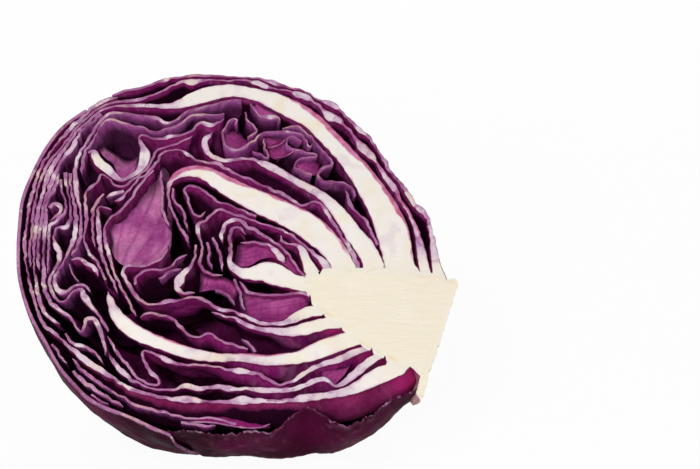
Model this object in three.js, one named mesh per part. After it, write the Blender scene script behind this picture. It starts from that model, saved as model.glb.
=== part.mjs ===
// Half of a red cabbage, cut lengthwise through its core, lying on its rounded back with the cut face
// leaning back. Millimetres, +Z up. The origin is on the ground under the middle of the bounding box.
//
// The cut face has its own two axes: a runs to the right and b runs up the face. Each leaf is drawn on
// the face as the line its cut edge follows, from the core outwards, and then carried back round the
// head. Every leaf is carried by the same rule, so leaves that keep clear of each other on the face
// keep clear all the way round.
import * as THREE from "three";

const DEG = Math.PI / 180;

// Driving dimensions.
const FACE_TILT = 50; // degrees between the face's normal and the ground
const HEAD_DEPTH = 76; // from the cut face to the back of the head
const REST_PRESS = 6.5; // how far the underside is flattened where the head rests
const PRESS_REACH = 26; // height over which the flattening dies out
const STEM_ANGLE = -24; // direction from the crown to the stump, on the face
const LEAF_GAP = 0.36; // air between neighbouring leaves
const BLADE = 1; // thickness of a leaf blade
const SHRINK = 0.035; // how much the inner leaves close up behind the face, under the outer leaf
const RIB_REACH = 11; // depth behind the face over which a cut rib thins to the blade
const TURNS = [0, 15, 43, 76]; // how far round the head each row of a leaf lies, degrees
const SHORT_TURNS = [0, 15, 43]; // the same for leaves that end inside the head

// Radius of the head on the face, every 15 degrees from the a axis towards the b axis.
const HEAD_RADII = [
  77.3, 73.6, 70.2, 72.2, 75.4, 75.8, 77.6, 80, 81.8, 83.6, 83.5, 81.9,
  80, 79.4, 78.6, 79.6, 80, 79.2, 77.6, 77.4, 81.5, 87, 87, 81,
];

// The core: pairs of points on the upper and lower edge of its cut, from its tip to the butt.
const CORE_STATIONS = [
  [[28.2, -11.8], [28, -17]],
  [[31, -9.3], [30.6, -23.8]],
  [[38, -8.6], [35, -28.3]],
  [[46, -8.4], [41.5, -34.3]],
  [[54, -8.4], [50, -42]],
  [[62, -8.9], [58.5, -47.6]],
  [[70.5, -10.2], [66.5, -51.8]],
  [[78.5, -11], [69.9, -56]],
  [[82.8, -11.9], [68.6, -60.8]],
  [[85, -14.5], [70.4, -63.8]],
];
const CORE_DEPTH = 0.45; // depth of the core behind the face, as a share of its width
const CORE_SIDES = 12;

// The outer wrapper leaf: its cut edge, and how far it reaches round the stem axis on either side.
const WRAPPER_EDGE = [
  [-57, 60.6], [-64.6, 53.8], [-70.2, 45.4], [-75.2, 33.2], [-78.6, 21], [-79.1, 10], [-79, 0],
  [-77.8, -12.5], [-74.5, -24], [-71, -32], [-66.4, -40], [-61, -49.8], [-55.5, -56.6], [-50.4, -62],
  [-44.4, -65.8], [-38.4, -68.4], [-31.8, -71.4], [-25.2, -74.8], [-19.6, -77.2],
];
const WRAPPER_THICKNESS = 1.2;
const WRAPPER_SHARE = 0.9935; // share of the head's radius at which the wrapper lies behind the face
const WRAPPER_ROWS = [
  17, 21, 27, 36, 48, 62, 72, 78, 80.5, 86, 92, 98, 104, 110, 117, 124, 131, 138, 146, 152, 157, 164, 172, 180,
];
const WRAPPER_COLUMNS = 13;
// Angle from the stump, and the leaf's upper and lower limit round the stem axis, degrees.
const WRAPPER_MARGINS = [
  [17, 46, 120], [21, 36, 124], [27, 36, 129], [36, 40, 132], [48, 46, 135], [62, 54, 139], [72, 60, 146],
  [78, 62, 160], [80.5, 63, 180], [86, 64, 180], [98, 62, 180], [117, 55, 180], [131, 44, 180], [147, 30, 180],
  [152, 20, 180], [157, 0, 180], [180, 0, 180],
];

// Cut edges: points a, b and the thickness where it isn't the blade's, from the core to the free end.
const LEAVES = {
  upper_wrapper_leaf: [
    [78.3, -14, 3.4], [77.2, -9, 3.4], [76.2, -3, 2.7], [75.2, 6, 1.7], [73.9, 13.4, 1.6], [71.6, 16.4, 2.6],
    [69.2, 18.8, 1.6], [67.2, 22.4, 1.9], [62.6, 30, 1.1], [59.7, 34, 1.2], [58.4, 37.6, 1.9],
    [55.8, 42, 1.1], [51.4, 49.6, 1.7], [49, 51.4, 2], [41.5, 60.4, 1.1], [39, 63, 2.5], [36.2, 64.4, 2.4],
    [32.6, 66, 1], [27, 69.8], [20, 71.7], [15.4, 73.5, 2], [11, 75.1, 1.4], [0, 76.4], [-10, 76.8],
    [-19, 76.8], [-23.5, 76], [-27, 74.8, 2], [-31, 73.2, 1.1], [-35.5, 71.3], [-39.5, 70.3], [-43.4, 69],
  ],
  second_leaf: [
    [73, -14, 3.8], [71.8, -4, 3.6], [70, 6, 2.2], [67.2, 14.5, 1.6], [63.3, 22, 1.2], [61, 27, 2.5],
    [58, 31.5, 2.1], [55, 37.3, 1.4], [52.4, 41, 3.4], [49.6, 44, 3.8], [47, 48, 1.6], [43, 54, 1.2],
    [40, 57, 3], [37.3, 58, 4.4], [34.4, 61.2, 1.7], [30.6, 65, 1.3], [27.8, 67, 3], [25, 68, 3.3],
    [21.5, 69.8], [15, 71.2], [11.5, 72.4, 2.6], [8.8, 73.7, 2.2], [3, 74.5, 1.1], [-10, 74.8],
    [-13.4, 74.6, 1.8], [-16.5, 73.9, 3.2], [-20, 74.3, 1.2], [-24.4, 72], [-31.5, 67.6],
    [-36.8, 65.8, 1.7], [-45, 64.6], [-51, 62.7], [-56, 58.6], [-60.2, 52.4], [-65, 44.7], [-69.4, 38],
    [-72, 31, 1.1], [-73.6, 22], [-74.3, 10], [-74.7, 0], [-74, -8],
  ],
  great_rib_leaf: [
    [63.8, -14, 11.4], [63, -5, 11.6], [61.9, 1, 12], [60.4, 8, 12.2], [57.6, 16, 11.6], [53.8, 24, 10.6],
    [49, 32, 9.2], [43.4, 40.3, 7.8], [36.6, 48.8, 7.5], [30.3, 56, 7.8], [23.3, 61, 8.3],
    [16.3, 64.9, 7.6], [10, 67.6, 5.8], [4, 69.3, 5.8], [-1, 70, 6.1], [-6, 69.4, 6.3], [-11, 68, 6.7],
    [-16, 65.9, 5.9], [-20, 64.1, 4.6], [-24.5, 63, 3], [-32, 63, 1.8], [-46, 62.8], [-51, 60.7],
    [-56.4, 56], [-60.3, 50.6], [-63.6, 44.5], [-67, 38.4, 1.5], [-69.6, 31.5, 2.2], [-71.2, 24.5, 1.4],
    [-72.4, 14], [-73, 4], [-72.9, -5], [-71.2, -16], [-68.8, -25], [-65.6, -29.6], [-61.8, -32.2],
  ],
  lower_sheath_leaf: [
    [63.5, -47, 5.5], [60, -51.3, 6.6], [56, -53.2, 7.4], [52, -55.3, 6.4], [48, -57.6, 4.8],
    [43, -59.9, 3.4], [36, -61.4, 2.7], [31, -62.1, 3.4], [27.5, -62.6, 3.8], [23.5, -63.4, 1.7],
    [16, -63.7, 1.4], [10, -63.6, 2.4], [5.5, -63.3, 4], [1, -63.9, 1.7], [-7, -64], [-12, -63.2, 2.7],
    [-15.5, -62.9, 3], [-20, -62.6, 1.5], [-28, -60.8, 1.2], [-34, -59, 1.6], [-40, -55.3, 1.3],
    [-46, -50.9, 2.5], [-50, -48.2, 2.6], [-55.3, -43.8, 1.4], [-60.6, -38.8, 1.4], [-64, -35.6, 1.8],
    [-67.4, -32.6, 1.2], [-70.4, -26], [-72.8, -18.5], [-75.3, -9], [-76.6, 0], [-76.4, 11],
    [-75.6, 20], [-74.4, 29, 1.3], [-71.6, 37.4], [-67.2, 45.6], [-62.5, 52.5], [-57.3, 59.4, 1.2],
    [-52.5, 63.6, 1.5], [-47.8, 66.4, 1.3],
  ],
  lower_wrapper_leaf: [
    [70, -58.8, 1.4], [66.5, -60.2, 1.3], [62, -62, 1.3], [57.4, -65, 1.3], [52.7, -69, 1.3], [48.4, -71.7, 1.3],
    [43, -73.6, 1.2], [37.6, -71.4, 1.2], [33.2, -68.5, 1.2], [29.4, -66.8, 1.2], [26.4, -68, 1.2],
    [23, -70.6, 1.2], [20.2, -73.4, 1.2], [16, -76, 1.2], [7, -76.1, 1.2], [0, -76.8, 1.2], [-8, -75.9, 1.2],
    [-16, -75, 1.2], [-24, -72.4, 1.1],
  ],
  crown_leaf_1: [
    [-50.9, 59.5], [-53.6, 56.3], [-57.5, 52.7], [-59.3, 48.4, 1.2], [-61, 44, 2.2], [-63.8, 40, 1.9],
    [-66.4, 34.5, 1.4], [-68.4, 27.4, 1.3], [-70, 21.5], [-71.2, 13], [-71.6, 4], [-71.6, -4], [-70.8, -9],
  ],
  crown_leaf_2: [
    [3, 65.6], [-1, 65.8], [-6, 63.9], [-12, 62.2, 1.3], [-17.9, 60.3], [-21.5, 56.9], [-25, 55.1, 1.3],
    [-28.6, 57.1, 1.7], [-35, 58.4], [-42, 59.6], [-47.4, 59.4], [-50.8, 56], [-53.9, 50.6],
    [-56.4, 45.3], [-58.7, 40, 1.2], [-59.4, 34, 1.3], [-58.9, 28, 1.8], [-57.8, 21, 1.3],
    [-56.4, 14], [-56.2, 6], [-57.2, 0.5], [-58.8, -3.4],
  ],
  crown_leaf_3: [
    [-3.6, 59.4], [-7.6, 58.5], [-12.6, 59.1, 1.3], [-16.6, 58.7], [-19.7, 55.1], [-25, 52.6], [-29.5, 51.3],
    [-34, 52.8], [-39.7, 54.5], [-44, 56], [-47.2, 57.3], [-50.2, 54.6], [-52.4, 50.4],
    [-54, 46, 1.3], [-56.2, 42], [-56.7, 36], [-57.2, 32.6],
  ],
  pocket_leaf_1: [
    [-55, 42], [-53.2, 42.6, 1.4], [-51.9, 39.8, 2.2], [-50.8, 36.8, 2.7], [-48, 34.4, 2.9],
    [-45, 31.4, 2.3], [-42.2, 29.7, 1.6], [-38.5, 30.9, 1.5], [-35.3, 33.9, 2], [-33.8, 37.4, 3.1],
    [-33.3, 41.2, 3.6], [-34.2, 45, 2], [-35.9, 48.2, 1.1], [-34.9, 49.6], [-31.5, 48.6], [-27, 48.3, 1.3],
    [-23.8, 49, 1.9], [-19.5, 49.9], [-15.8, 51.8], [-13.8, 54.4], [-11.5, 55.4, 1.6], [-8.8, 54.1, 2.3],
    [-6.2, 55, 1.4], [-3.4, 57.2],
  ],
  pocket_leaf_2: [
    [-45.8, -13.6], [-48.6, -7.5], [-52.4, -1.9], [-54.6, 3], [-54.2, 11.6], [-55, 20.5], [-54.8, 25.4, 1.2],
    [-52.6, 27, 1.4], [-50.7, 29], [-49.6, 32.6, 1.2], [-46.8, 31], [-44, 27.3], [-41, 26.7], [-37.4, 29.6],
    [-33.6, 33.5], [-30.4, 39.4], [-28.4, 43], [-23.2, 45], [-19, 47.3], [-15.5, 49.2],
  ],
  middle_leaf: [
    [47.5, -12, 1.6], [45.6, -5.6, 1.7], [43.5, 0, 1.8], [41.8, 4.4, 1.1], [40, 8.8, 1.4], [37.4, 12.8, 1.5],
    [36.2, 16, 1.7], [33.9, 19.3, 1.2], [31.2, 20.3], [29, 19.2], [27.1, 18.6], [24, 20.2, 1.2],
    [19.5, 23.4, 1.5], [16.6, 24.8, 1.5], [12.6, 26.8], [9, 29, 1.3], [6.6, 30.1, 1.3], [2, 32.2],
    [-2, 34.5, 1.3], [-5.7, 36.9, 1.7], [-10, 37.5], [-14.5, 38.8], [-17, 41, 1.9], [-19.4, 42.8],
    [-24, 42.8], [-27, 41.4], [-28.7, 37.6], [-31.6, 33.4], [-36.2, 28.8], [-39.3, 24.4, 1.2],
    [-41.5, 21.6, 1.7], [-44, 20.4, 1.2],
  ],
  pocket_leaf_3: [
    [-48.2, 23.6], [-50.2, 20.4], [-51.9, 17], [-52, 11.5], [-51.4, 5.5], [-50.6, 0.5],
  ],
  pocket_leaf_4: [
    [-45, 16.6], [-47.4, 17.8], [-49.6, 18], [-50, 14.6], [-49.3, 8.6, 1.2], [-48.6, 2, 1.2],
    [-47.4, -3.8, 1.1], [-45.4, -9.4], [-43, -14.4], [-41, -19],
  ],
  pocket_leaf_5: [
    [-29.7, 34], [-32.1, 30.8], [-35.3, 26.2, 1.4], [-38.8, 19.8], [-42.6, 15], [-45.8, 12.2], [-47.3, 8],
    [-46.6, 3], [-45, -2.7, 1.4], [-43.2, -9], [-40.4, -16], [-36.8, -22.5], [-34, -28.8],
  ],
  pocket_leaf_6: [[-58.9, -5], [-56.5, -4.5, 1.5], [-53, -6.6, 1.5], [-50.4, -8.1, 1.3], [-48.8, -12]],
  fold_leaf_1: [
    [-68.2, 17.4], [-67, 19, 1.2], [-64.7, 18.7, 1.7], [-63.9, 16, 1.8], [-65.6, 13.6, 1.7], [-67.9, 11.8],
  ],
  fold_leaf_2: [
    [-66.2, 32.6], [-66.8, 27], [-68.6, 22.3], [-69.8, 17], [-69.6, 10.4], [-69.6, 4], [-69.5, -2, 1.3],
    [-69, -8, 1.2], [-68.5, -16], [-66.2, -22.2], [-61.5, -26.8, 1.2], [-57.6, -29.6, 1.7],
    [-55.5, -33.8, 1.5], [-53.6, -35.2], [-52.6, -32.6], [-51.6, -29.7], [-49.5, -29.8, 1.3],
    [-47.4, -33.6, 1.9], [-45.3, -39.2, 1.5], [-44.4, -44.6],
  ],
  fold_leaf_3: [
    [-64.9, 30], [-64, 25], [-62.3, 19], [-62.6, 15], [-65, 12.2], [-67.9, 9.4], [-67.7, 3],
    [-67.6, -4], [-67.5, -10.6],
  ],
  fold_leaf_4: [
    [-63.2, 33], [-62.3, 26], [-60.9, 20], [-60.2, 13], [-61.6, 9.2, 1.8], [-65.2, 8.8], [-66.1, 4],
    [-64.6, 0.4, 1.9], [-63.3, -3.4, 1.5], [-64.4, -8], [-66.1, -12], [-66.1, -16], [-64.8, -20],
    [-62, -22.6], [-59.8, -21.8], [-57.4, -18.3], [-54.6, -17.8], [-53.4, -20.4, 1.7], [-50.6, -24.6, 1.3],
    [-46.6, -30], [-43.9, -35.2],
  ],
  fold_leaf_5: [
    [-61.2, 32.6], [-61, 27], [-59.1, 20], [-58.1, 12, 1.2], [-58.4, 4.5, 1.2], [-60.2, -1.4],
    [-61.4, -5], [-63.2, -8.8], [-64.4, -12.4], [-64.1, -16.2], [-62, -18.8, 1.6], [-59.6, -18.2],
    [-56.8, -15.7], [-53.8, -15.6], [-51.2, -18.4],
  ],
  broad_leaf: [
    [36, -24.4, 3], [33, -26.5, 3.6], [30, -27, 4.6], [27, -28.3, 4.5], [24, -29.9, 3.7], [20.5, -31.6, 2.1],
    [16, -32.1, 1.4], [12.5, -31.8, 1.7], [9, -30.7, 1.7], [6, -28.9, 1.7], [2.4, -27.1], [-2.4, -26.3, 1.7],
    [-5.6, -24.5], [-9.5, -21.5, 1.3], [-13, -21], [-18, -22.2], [-22.6, -22.8, 2.3], [-26, -23.8],
    [-30, -23.7], [-33.2, -21.4, 1.2], [-37, -15.8, 1.2], [-39.4, -10.6, 1.6], [-38.8, -7.8, 1.8],
    [-35, -7.8, 1.3], [-30.6, -7.4], [-26.6, -5.4], [-24, -2], [-23.2, 1.4],
  ],
  inner_fold_leaf: [
    [-34.8, -15.6], [-34.2, -11.8], [-32, -10.2], [-29, -9.4], [-25, -9.1], [-22.2, -8.2], [-19.5, -4.8],
    [-16, -2.8],
  ],
  inner_rib_leaf: [
    [-12.8, 1.4], [-13.2, -3.4], [-14.2, -7.6, 1.4], [-16.8, -10.6, 2.6], [-18.4, -14, 4],
    [-19, -17.4, 1.9], [-16.8, -19.5, 1.2], [-12.6, -18.8],
  ],
  third_rib_leaf: [
    [43.6, -13, 8], [40.6, -4, 8.8], [36.8, 1.8, 9.6], [31.9, 6.9, 11], [26.3, 11.5, 10.8],
    [20.2, 15, 10.2], [14, 18.2, 10.2], [7.4, 21.8, 9.6], [0.8, 25.6, 8.5], [-4.8, 29.3, 7.3],
    [-9, 32, 6.3], [-13, 33.3, 5.6], [-17.5, 33.3, 4.6], [-21, 31.8, 3.3], [-23.4, 28.6, 1.9],
    [-23.9, 24], [-23.5, 20], [-21.8, 15.8], [-19.6, 10.8], [-17.4, 6, 1.3], [-15.2, 2.2, 1.2],
  ],
  void_leaf_1: [
    [-22, 26], [-21.8, 21.2], [-19.8, 18.6], [-18, 15.6], [-17, 11.4], [-16, 8.2],
  ],
  void_leaf_2: [
    [9.6, 13.7], [6, 15.3], [2, 17.4], [-1, 18.7], [-4.5, 19.8], [-9, 23.8], [-12.6, 26.3], [-16.4, 27.1],
    [-17.7, 25.4], [-16.4, 21.6], [-15.3, 17.5], [-13.2, 13.9, 1.1], [-11.6, 13.6], [-9.6, 15.7],
  ],
  void_leaf_3: [
    [37.6, -10.4, 2.4], [34.6, -5.6, 2.6], [31.8, -3, 1.5], [28.3, 0.6], [24, 4.7], [20.3, 7.2], [15.5, 9.2],
    [9, 11.6], [4, 13.7, 1.3], [0, 15], [-3.6, 16.8], [-6.6, 15.2], [-9.2, 12], [-12, 10.4, 1.7],
    [-12.2, 7.6, 2.2], [-10.9, 3.4], [-10.3, -2], [-11, -6], [-9.8, -9.4], [-6.5, -11.1], [-2.6, -11.8],
  ],
  heart_rib_leaf: [
    [31.2, -12, 3.6], [29.6, -8, 3.7], [28.1, -4, 3.3], [26.9, -0.4, 2.7], [24.8, 1.3, 1.3], [21.4, 1.6],
    [19.3, 3.4, 1.2], [18.9, 5.4, 1.3],
  ],
  heart_cover_leaf: [
    [29.2, -14, 1], [26.2, -9.6], [23.6, -5.8, 1.1], [21.2, -2, 1.1], [18, 1.4, 1.1], [13, 5, 1.3],
    [10, 7.2, 1.4], [6.6, 9.4, 1.4], [3.6, 11.7, 1.5], [0.8, 12.2, 1.7], [-1.5, 10.6, 1.9],
    [-2.6, 8, 1.8], [-3.3, 5, 1.9], [-2.8, 2.6, 1.2],
  ],
  heart_leaf_1: [[20.4, -6.2, 1.5], [18.9, -3.8, 2.3], [17, -1.3, 2.4], [14.6, 0.8, 1.2], [10, 2.3], [4, 2]],
  heart_leaf_2: [
    [31, -15.6, 4.6], [27, -15.2, 5.2], [23.5, -14.2, 6.4], [20.5, -12.8, 8], [17, -11.2, 9.4],
    [13.5, -10.2, 9], [10, -10.7, 6.6], [6.5, -11, 5.2], [3.2, -9.8, 4.1], [1, -7.9, 3.2],
    [-0.2, -5.4, 2.1], [0.3, -2.2, 1.4], [0.3, 1.4, 1.2], [-0.1, 5, 1.2], [0.8, 8.2, 1.1], [2.6, 9.2],
    [4.3, 8], [5.8, 5.6],
  ],
  fan_leaf: [
    [32, -20.4, 1.6], [27, -19.2, 1.5], [23, -19.4, 1.2], [17, -19.9, 1.1], [11, -19.8], [7.4, -19, 1.3],
    [5.4, -16.6, 1.1], [4, -14.2],
  ],
  lower_leaf_1: [
    [42, -30, 4.6], [37.4, -31.6, 5], [32.8, -32.9, 5.4], [28, -34.2, 5.4], [24, -35.1, 4.4],
    [20, -35.3, 3.4], [15.5, -34.6, 2.3], [11.5, -34, 1.6], [8, -33.1, 2], [5, -31.5, 2.1],
    [2.6, -29.6, 1.3], [-1.5, -28.6], [-6, -27],
  ],
  lower_leaf_2: [
    [7.4, -42.6], [4, -41.4], [0, -40.1], [-3.2, -38.5], [-7.1, -36.1], [-10, -37.6, 1.1],
    [-13.4, -36.8, 1.1], [-17.4, -33.4, 1.4], [-20.5, -29.9], [-25, -28.4], [-29.8, -27.7], [-32.4, -29.4],
  ],
  lower_rib_leaf: [
    [50, -34.4, 6], [45.4, -37.9, 6.6], [41.5, -39.6, 7], [37.5, -41.2, 7.4], [33.5, -42.9, 7.4],
    [29.6, -44.7, 6.8], [25.5, -46.1, 5.3], [20, -46.6, 4.9], [14.5, -47, 4.4], [9, -46.4, 4.1],
    [3.5, -46, 3.6], [-3, -46, 4.1], [-9, -45.2, 4.5], [-15, -43.7, 4.7], [-21, -41.5, 5.2],
    [-27.5, -38.8, 5.7], [-33, -36, 6.2], [-37.5, -32.6, 5.8], [-41, -28.4, 4.6], [-43.2, -23.4, 2.9],
    [-44.7, -18.6, 1.3],
  ],
  lower_leaf_3: [
    [54.6, -40, 2], [49.8, -42.6, 2.5], [46, -44, 3], [42.5, -45.9, 2.9], [38.5, -47.6, 2.5],
    [33.5, -49.3, 1.8], [29.4, -51.6, 1.9], [26.6, -53.5, 2.2], [23, -55.8, 1.4], [19.2, -56.9],
    [15.5, -55, 1.2], [11.8, -52.8, 1.3], [8.5, -52.1, 1.6], [4.8, -51.6, 3], [1.2, -51, 1.4],
    [-3, -49.8], [-9.7, -49], [-17.1, -48.8], [-22.5, -46.8, 2.3], [-26.4, -44.4], [-30.4, -43],
    [-31, -45.2], [-29.2, -49.5, 1.2], [-27.3, -52.4, 1.9], [-24.6, -54.8, 1.2], [-25, -57],
    [-28.5, -56.5], [-33.2, -53.2], [-37, -48], [-41, -42.8, 1.3], [-43.8, -37],
  ],
  lower_leaf_4: [
    [59.4, -41.6, 2.6], [55, -45.4, 3], [51.4, -48, 3.5], [48.6, -50.6, 3.5], [45.6, -53.5, 2.9],
    [42.6, -56, 2.1], [39.8, -57.6, 1.2], [37.4, -56, 1.4], [35, -54.8, 2.3], [31.5, -55.8, 2.5],
    [27.5, -57.8, 2.1], [22, -59.2, 1.9], [16.5, -59.4, 2], [13, -59.2, 2.3], [8, -58.8, 1.5],
    [4.5, -58.8, 1.7], [1, -58.7, 2.8], [-2, -58, 2.3], [-6, -57.9, 1.4], [-11.5, -58.4, 2.1],
    [-14.7, -57.5, 2.1], [-18, -58.8], [-23, -59.2], [-28, -58.3], [-33.8, -55.5, 1.2],
    [-38, -51.6, 2.1], [-41.6, -47.4, 1.4], [-43.4, -44.4],
  ],
  sheath_leaf_1: [
    [-59.6, -36], [-57, -39.6, 1.1], [-54, -41.2, 1.2], [-51, -41.6], [-48.4, -44.2], [-45.2, -47.8],
  ],
  sheath_leaf_2: [
    [3.8, -72.8], [0, -71.9], [-5.9, -70.4], [-12.9, -70.8], [-17.9, -69.4], [-25, -67.4, 1.1],
    [-32.4, -65.4, 1.1], [-37.8, -62, 1.1], [-43.5, -58.2, 1.2], [-48.8, -54.4, 1.2], [-53.4, -50.2, 1.2],
    [-56.4, -46.4],
  ],
  sheath_leaf_3: [
    [-55.8, -51.4], [-53.4, -54.6, 1.1], [-49.5, -57.5, 1.2], [-45.6, -60.2, 1.1], [-41, -63.4], [-37, -65.7],
  ],
  sheath_leaf_4: [[-64.2, -40.4], [-61.6, -44.2, 1.4], [-58.6, -48.2, 1.2]],
  crumpled_leaf_1: [
    [46.8, 22.6], [45.6, 26], [43.2, 28], [38.6, 29], [34.4, 29.4], [32.6, 31.8], [34.6, 34.8, 1.2],
    [37.6, 36.6, 1.1], [37.8, 38.8], [35.6, 41.2], [34, 43.6], [30.8, 47.6], [28.2, 50.8], [24.8, 53.6],
    [22, 53.8], [18.8, 53],
  ],
  crumpled_leaf_2: [
    [30.3, 31.8], [27, 33.2], [24.1, 35.5], [24.5, 38.2], [26.8, 39.9], [29.6, 39.8], [31.9, 40.2],
    [31.4, 41.9], [27.8, 42.1], [24.4, 43.2, 1.3], [21.2, 45, 1.2], [20, 47.3, 1.1], [21.9, 48.9],
    [24.2, 48.5], [26.2, 46.8],
  ],
  crumpled_leaf_3: [
    [0.9, 54.6], [1.6, 56.6], [0.2, 57.2], [-2.2, 54.4], [-3.9, 50.5, 1.1], [-3.9, 47.6, 1.3],
    [-2.2, 44.8, 1.7], [1, 43, 1.9], [4.4, 44, 1.7], [7.8, 47, 1.2], [10.4, 50.2], [13, 51.4],
    [17.5, 51.2, 1.2], [21, 51.2, 1.7], [25, 50.7, 1.1], [27.4, 48.7], [28.3, 46], [29.6, 44.5],
    [30.6, 45.6],
  ],
  crumpled_leaf_4: [
    [6.4, 64], [8, 61.6], [9.6, 59.4], [12, 58, 1.7], [15.2, 57.9, 2.2], [17.3, 57.8, 1.3],
    [18.1, 56.2], [17.4, 54.6],
  ],
  crumpled_leaf_5: [[4.6, 60.2], [5.2, 57.4], [7, 54.6], [8.9, 52], [7.8, 50.2], [5.6, 48.8]],
  crumpled_leaf_6: [[7.7, 42.4], [10.6, 41], [13.4, 39.8], [13, 42], [12.3, 45], [11.8, 48.2, 1.1]],
  narrow_leaf: [
    [55.1, 1.4], [53.4, 5.2, 1.1], [52, 8.8, 1.2], [50.8, 11.8, 1.6], [48.8, 14.4, 1.1], [46.6, 15.8],
    [45.2, 18.6, 1.5], [44.2, 22], [43.2, 24.8],
  ],
  second_rib_leaf: [
    [54, -13, 6], [53.2, -6.5, 7.6], [50, 0.3, 7.9], [46.9, 5, 7.2], [44.1, 10, 6.2], [41, 14.6, 5.4],
    [38, 18.6, 4.7], [34.5, 22.3, 4.1], [30, 25.6, 3.6], [25.5, 28.4, 3], [21.5, 31.2, 2.7],
    [18, 33.5, 3], [15, 35.2, 3.5], [12.2, 36.8, 3], [9.2, 38.4, 1.6], [5, 38.8, 1.6], [0, 38.3, 1.7],
    [-4.5, 38.9, 1.9], [-8, 40.5, 2], [-10.1, 43.4, 2.5], [-10.7, 46.6, 2.7], [-9.7, 49.2, 1.9], [-7.6, 51],
  ],
};

// Leaves that end inside the head, hidden behind their neighbours.
const SHORT_LEAVES = new Set([
  "pocket_leaf_3", "pocket_leaf_4", "pocket_leaf_6", "fold_leaf_1", "fold_leaf_3", "inner_fold_leaf",
  "inner_rib_leaf", "void_leaf_1", "void_leaf_2", "heart_rib_leaf", "heart_cover_leaf", "heart_leaf_1",
  "heart_leaf_2", "fan_leaf", "lower_leaf_2", "sheath_leaf_1", "sheath_leaf_3", "sheath_leaf_4",
  "crumpled_leaf_1", "crumpled_leaf_2", "crumpled_leaf_3", "crumpled_leaf_4", "crumpled_leaf_5",
  "crumpled_leaf_6", "narrow_leaf", "fold_leaf_5", "fold_leaf_4", "broad_leaf", "void_leaf_3",
]);

// Leaves whose waves smooth out behind the face, so that the head is round outside, and how far their
// second row stands out past the head where the outer wrapper leaves them bare.
const SMOOTHED_LEAVES = { upper_wrapper_leaf: 0, lower_wrapper_leaf: 0.034 };
const BARE_FROM = [-17, -9]; // the range of a over which the lower wrapper leaf comes out from under it
const TUCKED_IN = 0.015; // how far inside the head's radius it lies before that

const COLOURS = { core: 0xf3ebd6, wrapper: 0x6b3350, blade: 0x8a3a78, rib: 0xece4d8 };

// ---------------------------------------------------------------- the head's shape

// Radius of the head in a direction on the face, by a smooth curve through HEAD_RADII.
function headRadius(angle) {
  const count = HEAD_RADII.length;
  const place = (((angle / DEG) % 360) + 360) % 360 / (360 / count);
  const k = Math.floor(place);
  const t = place - k;
  const [p, q, r, s] = [-1, 0, 1, 2].map((step) => HEAD_RADII[(k + step + count) % count]);
  return q + 0.5 * t * (r - p + t * (2 * p - 5 * q + 4 * r - s + t * (3 * (q - r) + s - p)));
}

// Depth of the shell that meets the face at a share of the head's radius.
function depthShare(share) {
  return Math.sqrt(share * share + 0.04) / Math.sqrt(1.04);
}

// A point of the face carried round the head: [a, b, depth behind the face].
function carry(a, b, turn) {
  const share = Math.hypot(a, b) / headRadius(Math.atan2(b, a));
  const close = 1 - SHRINK * Math.min(1, turn / TURNS[1]);
  const cos = Math.cos(turn * DEG) * close;
  return [a * cos, b * cos, HEAD_DEPTH * depthShare(share) * Math.sin(turn * DEG) * close];
}

const FACE_UP = new THREE.Vector3(0, Math.sin(FACE_TILT * DEG), Math.cos(FACE_TILT * DEG));
const FACE_BACK = new THREE.Vector3(0, Math.cos(FACE_TILT * DEG), -Math.sin(FACE_TILT * DEG));

// Height of the face's centre: the round underside would reach REST_PRESS below the ground.
function lowestReach() {
  let lowest = 0;
  for (let turn = 20; turn <= 80; turn += 1) {
    const [, b, depth] = [0, -headRadius(-90 * DEG) * Math.cos(turn * DEG), HEAD_DEPTH * Math.sin(turn * DEG)];
    lowest = Math.min(lowest, b * FACE_UP.z + depth * FACE_BACK.z);
  }
  return -lowest;
}
const CENTRE_HEIGHT = lowestReach() - REST_PRESS;

// How far out a place is, where 1 is the outside of the head.
function outness(x, y, z) {
  const b = y * FACE_UP.y + z * FACE_UP.z;
  const depth = y * FACE_BACK.y + z * FACE_BACK.z;
  return Math.hypot(Math.hypot(x, b) / headRadius(Math.atan2(b, x)), depth / HEAD_DEPTH);
}

// Height of the round underside straight below a place, before it is flattened.
function undersideAt(x, y) {
  let [low, high] = [-CENTRE_HEIGHT - 30, -CENTRE_HEIGHT + 30];
  if (outness(x, y, high) > 1) return 0;
  for (let step = 0; step < 24; step += 1) {
    const middle = (low + high) / 2;
    if (outness(x, y, middle) > 1) low = middle;
    else high = middle;
  }
  return low + CENTRE_HEIGHT;
}

// From face coordinates to the part's own frame, with the underside flattened where it rests.
function place(a, b, depth) {
  const y = b * FACE_UP.y + depth * FACE_BACK.y;
  let z = b * FACE_UP.z + depth * FACE_BACK.z + CENTRE_HEIGHT;
  if (z < PRESS_REACH) {
    const under = Math.min(0, undersideAt(a, y));
    const above = THREE.MathUtils.clamp((z - under) / PRESS_REACH, 0, 1);
    z -= under * (1 - above * above * (3 - 2 * above));
  }
  return new THREE.Vector3(a, y, Math.max(0, z));
}

// ---------------------------------------------------------------- keeping the leaves apart

function distanceToSegment(p, q, r) {
  const [dx, dy] = [r.a - q.a, r.b - q.b];
  const t = THREE.MathUtils.clamp(((p.a - q.a) * dx + (p.b - q.b) * dy) / (dx * dx + dy * dy), 0, 1);
  const [ex, ey] = [p.a - q.a - t * dx, p.b - q.b - t * dy];
  return { t, ex, ey, distance: Math.hypot(ex, ey) };
}

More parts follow.
